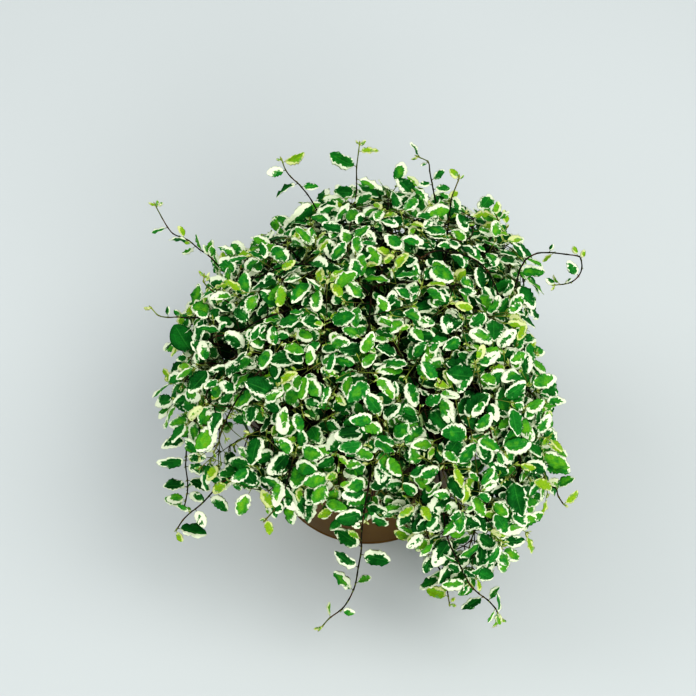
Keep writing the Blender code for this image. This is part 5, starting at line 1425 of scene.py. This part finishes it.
def leaf_material(under):
    m, w, shader = new_material("fig_leaf_underside" if under else "fig_leaf", 0.55 if under else 0.45, 0.05)
    along, across, edge, seed, age, cream = w.look()
    place = w.place()
    # the place on this leaf, shifted so that no two leaves have the same pattern
    own = w.node("ShaderNodeVectorMath", operation="SCALE")
    w.put(own.inputs[0], (37.0, 91.0, 53.0))
    w.put(own.inputs["Scale"], w.maths("MODULO", seed, 2.0))
    # how deep in the shade of the others the leaf hangs
    shaded = w.maths("MULTIPLY", w.maths("FLOOR", w.maths("MULTIPLY", seed, 0.5)), 0.125)
    at = w.node("ShaderNodeVectorMath", operation="ADD")
    w.put(at.inputs[0], place)
    w.put(at.inputs[1], own.outputs[0])
    at = at.outputs[0]
    # greens
    tone = w.maths("ADD", age, w.maths("MULTIPLY", w.maths("SUBTRACT", w.noise(at, 260.0, 2.0), 0.5), 0.55))
    heart = w.maths("MULTIPLY", w.step(edge, 1.6, 4.2), w.step(w.noise(at, 95.0, 1.0), 0.42, 0.60))
    tone = w.maths("ADD", tone, w.maths("MULTIPLY", heart, 0.20))
    green = w.ramp(w.maths("MULTIPLY_ADD", tone, 0.72, 0.28), [(0.0, OLD_SHADED_GREEN), (0.28, DARK), (0.58, MIDDLE), (0.80, BRIGHT), (1.0, YOUNG)])
    shade = w.maths("MULTIPLY_ADD", w.noise(at, 1100.0, 3.0, 0.65), 1.5, 0.28)
    green = w.mix(1.0, green, w.node_grey(shade), "MULTIPLY")
    # midrib and side veins, lighter than the blade
    side = w.maths("ABSOLUTE", across)
    rib = w.maths("MULTIPLY", w.step(side, 0.015, 0.085, 1.0, 0.0), w.step(along, 0.78, 0.98, 1.0, 0.0))
    slant = w.maths("SUBTRACT", w.maths("MULTIPLY", along, 30.0), w.maths("MULTIPLY", side, 9.0))
    veins = w.maths("ABSOLUTE", w.maths("SINE", slant))
    veins = w.maths("MULTIPLY", w.step(veins, 0.0, 0.30, 1.0, 0.0), w.step(side, 0.95, 0.55, 0.0, 1.0))
    lines = w.maths("MAXIMUM", rib, w.maths("MULTIPLY", veins, 0.40))
    green = w.mix(w.maths("MULTIPLY", lines, 0.24), green, (0.10, 0.38, 0.07))
    # the grey-green zone between the green and the cream, in patches
    ragged = w.noise(at, 620.0, 3.0, 0.62)
    coarse = w.noise(at, 210.0, 1.0)
    gap = w.maths("SUBTRACT", edge, cream)
    gap = w.maths("SUBTRACT", gap, w.maths("MULTIPLY", w.maths("SUBTRACT", ragged, 0.5), 1.6))
    gap = w.maths("SUBTRACT", gap, w.maths("MULTIPLY", w.maths("SUBTRACT", coarse, 0.5), 3.0))
    # the cream ends along the small veins, so its inner edge is stepped
    fields = w.node("ShaderNodeTexVoronoi")
    w.put(fields.inputs["Vector"], at)
    fields.inputs["Scale"].default_value = 620.0
    part = w.node("ShaderNodeSeparateColor")
    w.put(part.inputs[0], fields.outputs["Color"])
    gap = w.maths("SUBTRACT", gap, w.maths("MULTIPLY", w.maths("SUBTRACT", part.outputs[0], 0.5), 1.5))
    has = w.step(cream, -0.3, -0.1, 0.0, 1.0)
    grey = w.maths("MULTIPLY", w.step(gap, 0.65, 1.25, 1.0, 0.0), w.step(w.noise(at, 330.0, 1.0), 0.50, 0.56))
    grey = w.maths("MULTIPLY", grey, has)
    green = w.mix(w.maths("MULTIPLY", grey, 0.85), green, (0.165, 0.330, 0.135))
    # cream margin: it starts yellow-green on young leaves; deeper in the canopy it is painted greener, partly the
    # greener margin of older inner leaves, partly painted shade and green light passed through the leaves above
    pale = w.mix(w.maths("MULTIPLY", shaded, 0.85), CREAM, (0.40, 0.64, 0.20))
    pale = w.mix(w.step(age, 0.55, 1.0), pale, (0.66, 0.72, 0.26))
    pale = w.mix(w.maths("MULTIPLY", w.noise(at, 900.0, 2.0), 0.22), pale, (0.55, 0.66, 0.36))
    margin = w.maths("MULTIPLY", w.step(gap, -0.10, 0.10, 1.0, 0.0), has)
    colour = w.mix(margin, green, pale)
    if under:
        colour = w.mix(0.30, colour, (0.20, 0.42, 0.15))
    # a little brown on a few edges
    worn = w.maths("MULTIPLY", w.step(edge, 0.05, 0.30, 1.0, 0.0), w.step(w.noise(at, 140.0, 1.0), 0.66, 0.72))
    colour = w.mix(w.maths("MULTIPLY", worn, 0.5), colour, (0.30, 0.20, 0.09))
    w.put(shader.inputs["Base Color"], colour)
    w.put(shader.inputs["Roughness"], w.blend(margin, w.maths("MULTIPLY_ADD", w.noise(at, 700.0, 2.0), 0.22, 0.46 if under else 0.38),
                                              0.52 if under else 0.46))
    cells = w.node("ShaderNodeTexVoronoi", feature="DISTANCE_TO_EDGE")
    w.put(cells.inputs["Vector"], at)
    cells.inputs["Scale"].default_value = 1250.0
    net = w.step(cells.outputs["Distance"], 0.0, 0.22, 0.0, 1.0)
    height = w.maths("SUBTRACT", w.maths("MULTIPLY", net, 0.35), w.maths("MULTIPLY", lines, 1.0 if not under else -1.0))
    w.bump(shader, height, 0.55, 0.00012)
    return m


def node_grey(self, value):
    n = self.node("ShaderNodeCombineColor")
    for i in range(3):
        self.put(n.inputs[i], value)
    return n.outputs[0]


Wires.node_grey = node_grey


def stem_material():
    m, w, shader = new_material("fig_stem", 0.6, 0.15)
    age, along, _z, seed, _age, _c = w.look()
    place = w.place()
    bark = w.ramp(age, [(0.0, (0.012, 0.009, 0.004)), (0.40, (0.032, 0.025, 0.009)), (0.70, (0.095, 0.125, 0.026)),
                        (1.0, (0.270, 0.340, 0.060))])
    streak = w.node("ShaderNodeMapping")
    w.put(streak.inputs["Vector"], place)
    streak.inputs["Scale"].default_value = (1.0, 1.0, 0.35)
    grain = w.noise(streak.outputs[0], 1400.0, 3.0, 0.6)
    bark = w.mix(1.0, bark, w.node_grey(w.maths("MULTIPLY_ADD", grain, 0.9, 0.5)), "MULTIPLY")
    flush = w.step(w.noise(place, 90.0, 1.0), 0.52, 0.66)
    bark = w.mix(w.maths("MULTIPLY", flush, 0.35), bark, (0.140, 0.060, 0.028))
    w.put(shader.inputs["Base Color"], bark)
    w.put(shader.inputs["Roughness"], w.maths("MULTIPLY_ADD", grain, 0.25, 0.48))
    w.bump(shader, grain, 0.6, 0.00015)
    return m


def plastic_material():
    m, w, shader = new_material("pot_plastic", 0.42, 0.12)
    place = w.place()
    cloud = w.noise(place, 16.0, 3.0, 0.55)
    fine = w.noise(place, 900.0, 2.0, 0.6)
    colour = w.mix(w.step(cloud, 0.35, 0.68), (0.088, 0.047, 0.010), (0.116, 0.063, 0.014))
    # fine dust and dried splashes, thicker low down
    split = w.node("ShaderNodeSeparateXYZ")
    w.put(split.inputs[0], place)
    low = w.step(split.outputs["Z"], 0.0, 0.030, 1.0, 0.0)
    dust = w.maths("MULTIPLY", w.step(w.noise(place, 60.0, 4.0, 0.65), 0.48, 0.78), w.maths("MULTIPLY_ADD", low, 0.5, 0.22))
    colour = w.mix(dust, colour, (0.175, 0.115, 0.050))
    w.put(shader.inputs["Base Color"], colour)
    # short vertical scuffs
    scratch = w.node("ShaderNodeMapping")
    w.put(scratch.inputs["Vector"], place)
    scratch.inputs["Scale"].default_value = (1.0, 1.0, 0.06)
    scuff = w.step(w.noise(scratch.outputs[0], 420.0, 2.0, 0.6), 0.66, 0.74)
    rough = w.maths("ADD", w.maths("MULTIPLY_ADD", fine, 0.10, 0.29), w.maths("MULTIPLY", dust, 0.35))
    w.put(shader.inputs["Roughness"], w.maths("ADD", rough, w.maths("MULTIPLY", scuff, 0.12)))
    height = w.maths("ADD", w.maths("MULTIPLY", fine, 0.6), w.maths("MULTIPLY", scuff, -0.3))
    w.bump(shader, height, 0.22, 0.00012)
    return m


def soil_material(chips):
    m, w, shader = new_material("bark_chips" if chips else "potting_mix", 0.85, 0.25)
    place = w.place()
    clods = w.noise(place, 190.0, 5.0, 0.7)
    if chips:
        colour = w.ramp(w.noise(place, 120.0, 1.0), [(0.30, (0.030, 0.016, 0.009)), (0.55, (0.075, 0.038, 0.018)), (0.80, (0.150, 0.085, 0.042))])
        fibre = w.node("ShaderNodeMapping")
        w.put(fibre.inputs["Vector"], place)
        fibre.inputs["Scale"].default_value = (1.0, 0.25, 1.0)
        clods = w.noise(fibre.outputs[0], 1300.0, 3.0, 0.6)
        colour = w.mix(1.0, colour, w.node_grey(w.maths("MULTIPLY_ADD", clods, 1.0, 0.45)), "MULTIPLY")
    else:
        colour = w.ramp(clods, [(0.28, (0.007, 0.005, 0.003)), (0.50, (0.022, 0.014, 0.009)), (0.72, (0.060, 0.038, 0.022))])
        specks = w.node("ShaderNodeTexVoronoi")
        w.put(specks.inputs["Vector"], place)
        specks.inputs["Scale"].default_value = 330.0
        pale = w.maths("MULTIPLY", w.step(specks.outputs["Distance"], 0.10, 0.22, 1.0, 0.0), w.step(w.noise(place, 75.0, 1.0), 0.60, 0.66))
        colour = w.mix(pale, colour, (0.42, 0.38, 0.31))
    w.put(shader.inputs["Base Color"], colour)
    w.put(shader.inputs["Roughness"], w.maths("MULTIPLY_ADD", clods, 0.25, 0.68))
    w.bump(shader, w.maths("ADD", clods, w.maths("MULTIPLY", w.noise(place, 1100.0, 2.0), 0.4)), 0.8, 0.0008)
    return m


LEAF_TOP, LEAF_BACK, LEAF_STEM = leaf_material(False), leaf_material(True), stem_material()
POT_PLASTIC, SOIL_MIX, SOIL_CHIPS = plastic_material(), soil_material(False), soil_material(True)


# ------------------------------------------------------------------
# The pot: a turned shell with a rolled lip, a collar, a foot ring and drainage holes
# ------------------------------------------------------------------
def arc(cx, cz, r, start, end, steps):
    return [(cx + r * math.cos(math.radians(start + (end - start) * k / steps)),
             cz + r * math.sin(math.radians(start + (end - start) * k / steps))) for k in range(steps + 1)]


def shell_from_profile(name, profile, steps, materials):
    bm = bmesh.new()
    rings = []
    for r, z in profile:
        if r < 1e-6:
            rings.append([bm.verts.new((0.0, 0.0, z * MM))])
        else:
            rings.append([bm.verts.new((r * MM * math.cos(2 * math.pi * k / steps), r * MM * math.sin(2 * math.pi * k / steps), z * MM))
                          for k in range(steps)])
    for a, b in zip(rings, rings[1:]):
        for k in range(steps):
            j = (k + 1) % steps
            if len(a) == 1:
                bm.faces.new((a[0], b[k], b[j]))
            elif len(b) == 1:
                bm.faces.new((a[k], b[0], a[j]))
            else:
                bm.faces.new((a[k], b[k], b[j], a[j]))
    mesh = bpy.data.meshes.new(name)
    bm.to_mesh(mesh)
    bm.free()
    for m in materials:
        mesh.materials.append(m)
    obj = bpy.data.objects.new(name, mesh)
    SCENE.collection.objects.link(obj)
    return obj


def make_pot():
    shoulder = POT_H - COLLAR_H
    wall_top = RIM_R - 4.0
    inner_foot = BASE_R - WALL - 0.6
    inner_top = wall_top - WALL
    inside = [(0.0, 3.0), (30.0, 3.0), (42.0, 3.0), (58.0, 3.0), (inner_foot - 4.2, 3.0)]
    inside += arc(inner_foot - 4.0, 6.6, 3.6, -80, -8, 4)
    for k in range(1, 8):
        t = k / 8.0
        inside.append((inner_foot + (inner_top - inner_foot) * t, 6.8 + (shoulder - 7.8) * t))
    inside += [(inner_top, shoulder - 0.8), (inner_top + 0.6, shoulder + 0.5), (RIM_R - WALL - 1.0, shoulder + 2.0), (RIM_R - WALL - 0.6, shoulder + 3.4)]
    inside += [(RIM_R - WALL - 0.5, shoulder + 9.0), (RIM_R - WALL - 0.6, POT_H - 2.4)]
    lip = arc(RIM_R - 1.45, POT_H - 1.45, 1.45, 168, 0, 9)
    outside = [(RIM_R, POT_H - 2.6), (RIM_R - 0.35, POT_H - 3.6), (RIM_R - 0.5, POT_H - 5.0), (RIM_R - 0.65, POT_H - 10.0), (RIM_R - 0.85, shoulder + 3.4)]
    outside += [(RIM_R - 0.6, shoulder + 2.4), (RIM_R - 0.55, shoulder + 1.2), (RIM_R - 0.9, shoulder + 0.4), (RIM_R - 1.7, shoulder)]
    outside += [(wall_top + 0.8, shoulder - 0.2), (wall_top + 0.1, shoulder - 0.9), (wall_top - 0.2, shoulder - 2.0)]
    for k in range(1, 12):
        t = k / 12.0
        outside.append((wall_top - 0.2 + (BASE_R + 0.5 - wall_top) * t, shoulder - 2.0 - (shoulder - 6.0) * t))
    outside += [(BASE_R + 0.2, 4.2), (BASE_R - 0.1, 3.0), (BASE_R + 0.25, 2.2), (BASE_R + 0.1, 1.2), (BASE_R - 0.5, 0.4), (BASE_R - 1.4, 0.0)]
    outside += [(BASE_R - 4.6, 0.0), (BASE_R - 5.4, 0.35), (BASE_R - 5.8, 1.0), (58.0, 1.0), (42.0, 1.0), (26.0, 1.0), (0.0, 1.0)]
    pot = shell_from_profile("pot_shell", inside + lip + outside, 144, [POT_PLASTIC])
    # drainage holes in the floor
    holes = bmesh.new()
    for k in range(8):
        w = 2 * math.pi * (k + 0.5) / 8
        bmesh.ops.create_cone(holes, cap_ends=True, segments=32, radius1=4.0 * MM, radius2=4.0 * MM, depth=12 * MM,
                              matrix=Matrix.Translation((50 * MM * math.cos(w), 50 * MM * math.sin(w), 2 * MM)))
    cutter_mesh = bpy.data.meshes.new("drain")
    holes.to_mesh(cutter_mesh)
    holes.free()
    cutter = bpy.data.objects.new("drain", cutter_mesh)
    SCENE.collection.objects.link(cutter)
    cut = pot.modifiers.new("drain", "BOOLEAN")
    cut.operation, cut.solver, cut.object = "DIFFERENCE", "EXACT", cutter
    bpy.context.view_layer.update()
    done = bpy.data.meshes.new_from_object(pot.evaluated_get(bpy.context.evaluated_depsgraph_get()))
    pot.modifiers.clear()
    pot.data = done
    bpy.data.objects.remove(cutter, do_unlink=True)
    done.shade_smooth()
    done.set_sharp_from_angle(angle=math.radians(40))
    return pot


# ------------------------------------------------------------------
# The potting mix: a lumpy surface with chips of bark on it
# ------------------------------------------------------------------
def make_soil(rng):
    from mathutils import noise
    bm = bmesh.new()
    rings, steps, count = [], 128, 46
    top = 92.2
    for i in range(count + 1):
        r = top * i / count
        ring = []
        for k in range(steps if i else 1):
            w = 2 * math.pi * k / steps
            x, y = r * math.cos(w), r * math.sin(w)
            lump = 1.6 * noise.noise(Vector((x * 0.06, y * 0.06, 1.0))) + 1.3 * noise.noise(Vector((x * 0.19, y * 0.19, 5.0))) \
                + 0.8 * noise.noise(Vector((x * 0.45, y * 0.45, 9.0)))
            z = SOIL_Z - 0.6 + lump - 1.5 * max(0.0, (i / count - 0.93) / 0.07)
            ring.append(bm.verts.new((x * MM, y * MM, min(z, SOIL_Z + 1.9) * MM)))
        rings.append(ring)
    shoulder = POT_H - COLLAR_H

    def inner(z):
        low, high = BASE_R - WALL - 0.6, RIM_R - 4.0 - WALL
        return low + (high - low) * (z - 6.5) / (shoulder - 6.5) - 0.9
    for z in (SOIL_Z - 6.0, SOIL_Z - 14.0, 80.0, 40.0, 9.0):
        r = inner(z)
        rings.append([bm.verts.new((r * MM * math.cos(2 * math.pi * k / steps), r * MM * math.sin(2 * math.pi * k / steps), z * MM)) for k in range(steps)])
    r = inner(9.0) - 6.0
    rings.append([bm.verts.new((r * MM * math.cos(2 * math.pi * k / steps), r * MM * math.sin(2 * math.pi * k / steps), 3.4 * MM)) for k in range(steps)])
    rings.append([bm.verts.new((0.0, 0.0, 3.4 * MM))])
    for a, b in zip(rings, rings[1:]):
        for k in range(steps):
            j = (k + 1) % steps
            if len(a) == 1:
                bm.faces.new((a[0], b[k], b[j]))
            elif len(b) == 1:
                bm.faces.new((a[k], b[0], a[j]))
            else:
                bm.faces.new((a[k], b[k], b[j], a[j]))
    # chips: bent flakes, each its own little closed shape
    for c in range(520):
        r = 89.0 * math.sqrt(rng.random())
        w = rng.uniform(0, 2 * math.pi)
        x, y = r * math.cos(w), r * math.sin(w)
        size = rng.uniform(1.6, 6.5)
        if r + size * 0.6 > 90.5:
            continue
        turn = Matrix.Rotation(rng.uniform(0, 6.28), 4, "Z") @ Matrix.Rotation(rng.uniform(-0.6, 0.6), 4, "X") @ Matrix.Rotation(rng.uniform(-0.5, 0.5), 4, "Y")
        z = SOIL_Z + rng.uniform(-0.6, 0.9)
        place = Matrix.Translation((x * MM, y * MM, z * MM)) @ turn @ Matrix.Diagonal(
            (size * MM, size * rng.uniform(0.35, 0.8) * MM, size * rng.uniform(0.14, 0.34) * MM, 1.0))
        made = bmesh.ops.create_icosphere(bm, subdivisions=1, radius=0.5, matrix=place)
        for v in made["verts"]:
            v.co += Vector((rng.uniform(-1, 1), rng.uniform(-1, 1), rng.uniform(-1, 1))) * (0.09 * size * MM)
        for f in {f for v in made["verts"] for f in v.link_faces}:
            f.material_index = 1
    mesh = bpy.data.meshes.new("potting_mix_surface")
    bm.to_mesh(mesh)
    bm.free()
    mesh.materials.append(SOIL_MIX)
    mesh.materials.append(SOIL_CHIPS)
    mesh.shade_smooth()
    mesh.set_sharp_from_angle(angle=math.radians(55))
    obj = bpy.data.objects.new("potting_mix_surface", mesh)
    SCENE.collection.objects.link(obj)
    return obj


# ------------------------------------------------------------------
# The plant
# ------------------------------------------------------------------
growth = random.Random(SEED)
vines, room = grow_stems(FILL, growth)
thicket = grow_leaves(vines, growth)
samples = canopy_samples(SAMPLES)
_first, cover = grow_shoots(vines, thicket, random.Random(SEED + 7), samples, FIRST_WAVE, FIRST_MOST)
open_gaps(vines)
grow_shoots(vines, thicket, random.Random(SEED + 8), samples, WAVES, MOST, cover, APART, LARGE, HOLLOWS)
grow_shoots(vines, thicket, random.Random(SEED + 9), samples, INNER, MOST_INNER, cover, APART, LARGE)
open_gaps(vines, keep_twigs=True)


def bears(twig, shoots):
    return any((shoot["pts"][0] - p).length < 1.2 for shoot in shoots if shoot is not twig for p in twig["pts"])


# of the side shoots without leaves, only those that other shoots grow from stay
for vine in vines:
    vine["shoots"] = [shoot for shoot in vine["shoots"] if shoot["leaves"] or bears(shoot, vine["shoots"])]
look = random.Random(SEED + 2)

pot = make_pot()
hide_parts("pot")
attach(pot, "root")

soil = make_soil(random.Random(SEED + 3))
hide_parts("soil")
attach(soil, "root")

for k, vine in enumerate(vines):
    name = "vine_%02d" % (k + 1)
    sheaf = Sheaf()
    pts = vine["pts"]
    n = len(pts)
    seed = look.random()
    add_stem(sheaf, pts, 0.74, 0.48, 3, 6, 4.0, seed)
    for leaf in vine["leaves"]:
        add_leaf(sheaf, leaf, look)
    for i in range(1, n - 1):
        t = tangent_at(pts, i)
        _d, up = canopy_depth(pts[i])
        way = (t * 0.8 + up * 0.5 + Vector((look.uniform(-1, 1), look.uniform(-1, 1), look.uniform(-1, 1))) * 0.3).normalized()
        add_bud(sheaf, pts[i] + up * 0.3, way, look.uniform(1.4, 2.2), 0.35 + 0.6 * i / n, look.random())
        # short clinging roots on the shaded side of older nodes
        if i < n * 0.7 and look.random() < 0.45:
            for _r in range(look.randint(1, 3)):
                way = (-up + t * look.uniform(-0.6, 0.6) + Vector((look.uniform(-1, 1), look.uniform(-1, 1), look.uniform(-1, 1))) * 0.5).normalized()
                at = pts[i] + t * look.uniform(-0.8, 0.8)
                long = look.uniform(1.6, 4.2)
                bent = (way + Vector((look.uniform(-1, 1), look.uniform(-1, 1), look.uniform(-1, 1))) * 0.5).normalized()
                add_tube(sheaf, [at, at + way * (0.5 * long), at + (way + bent) * (0.5 * long)], [0.16, 0.12, 0.03], 3, 0.1, look.random(), True)
    add_tip_leaves(sheaf, pts, canopy_depth(pts[-1])[1] if not vine["spec"] else FACE, look, 1.0)
    for shoot in vine["shoots"]:
        deep, out = canopy_depth(shoot["pts"][-1])
        add_stem(sheaf, shoot["pts"], 0.42, 0.28, 2, 4, 3.0, look.random())
        for leaf in shoot["leaves"]:
            add_leaf(sheaf, leaf, look)
        if deep > -13:
            add_tip_leaves(sheaf, shoot["pts"], out, look, 0.85)
    piece = sheaf.build(name + "_foliage", [LEAF_TOP, LEAF_BACK, LEAF_STEM])
    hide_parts(name)
    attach(piece, "root")

# ------------------------------------------------------------------
# Studio: a pale floor, three wide soft lights and a pale sky, and the camera above the front
# ------------------------------------------------------------------
floor_mesh = bpy.data.meshes.new("floor")
bm = bmesh.new()
bmesh.ops.create_grid(bm, x_segments=60, y_segments=60, size=15.0)
bm.to_mesh(floor_mesh)
bm.free()
floor = bpy.data.objects.new("floor", floor_mesh)
SCENE.collection.objects.link(floor)
paper, w, shader = new_material("floor_paper", 0.9, 0.1)
shade = w.mix(w.step(w.noise(w.place(), 2.2, 1.0), 0.3, 0.7), (0.585, 0.628, 0.628), (0.600, 0.643, 0.645))
w.put(shader.inputs["Base Color"], shade)
floor_mesh.materials.append(paper)


def area_light(name, at, target, size, power, colour):
    light = bpy.data.lights.new(name, "AREA")
    light.shape = "DISK"
    light.size = size
    light.energy = power
    light.color = colour
    obj = bpy.data.objects.new(name, light)
    obj.location = at
    obj.rotation_euler = (Vector(target) - Vector(at)).to_track_quat("-Z", "Y").to_euler()
    SCENE.collection.objects.link(obj)
    return obj


area_light("key", (2.30, -0.50, 3.50), (0.0, 0.0, 0.12), 2.8, 67.0, (1.0, 0.985, 0.95))
area_light("front", (0.95, -3.12, 2.20), (0.0, 0.0, 0.12), 2.8, 88.0, (1.0, 0.99, 0.97))
area_light("left", (-2.80, 0.90, 2.50), (0.0, 0.0, 0.12), 2.8, 34.0, (1.0, 0.98, 0.96))

world = bpy.data.worlds.new("studio")
SCENE.world = world
world.use_nodes = True
world.node_tree.nodes["Background"].inputs["Color"].default_value = (0.94, 0.975, 1.0, 1.0)
world.node_tree.nodes["Background"].inputs["Strength"].default_value = 0.62

eye = bpy.data.cameras.new("camera")
eye.sensor_width = 36.0
eye.lens = 82.76
eye.clip_start, eye.clip_end = 0.05, 20.0
camera = bpy.data.objects.new("camera", eye)
aim = Vector((-0.0154, 0.008, 0.144))
camera.location = aim + Vector((0.0, -math.cos(LEAN), math.sin(LEAN))) * 1.2
camera.rotation_euler = (math.radians(90.0) - LEAN, 0.0, 0.0)
SCENE.collection.objects.link(camera)
SCENE.camera = camera
SCENE.view_settings.view_transform = "Standard"
# a little more contrast in the shadows, as a camera gives
SCENE.view_settings.use_curve_mapping = True
curve = SCENE.view_settings.curve_mapping
for x, y in ((0.013, 0.0050), (0.028, 0.0125), (0.070, 0.046), (0.147, 0.119), (0.305, 0.298), (0.60, 0.60)):
    curve.curves[3].points.new(x, y)
curve.update()

bpy.context.view_layer.update()
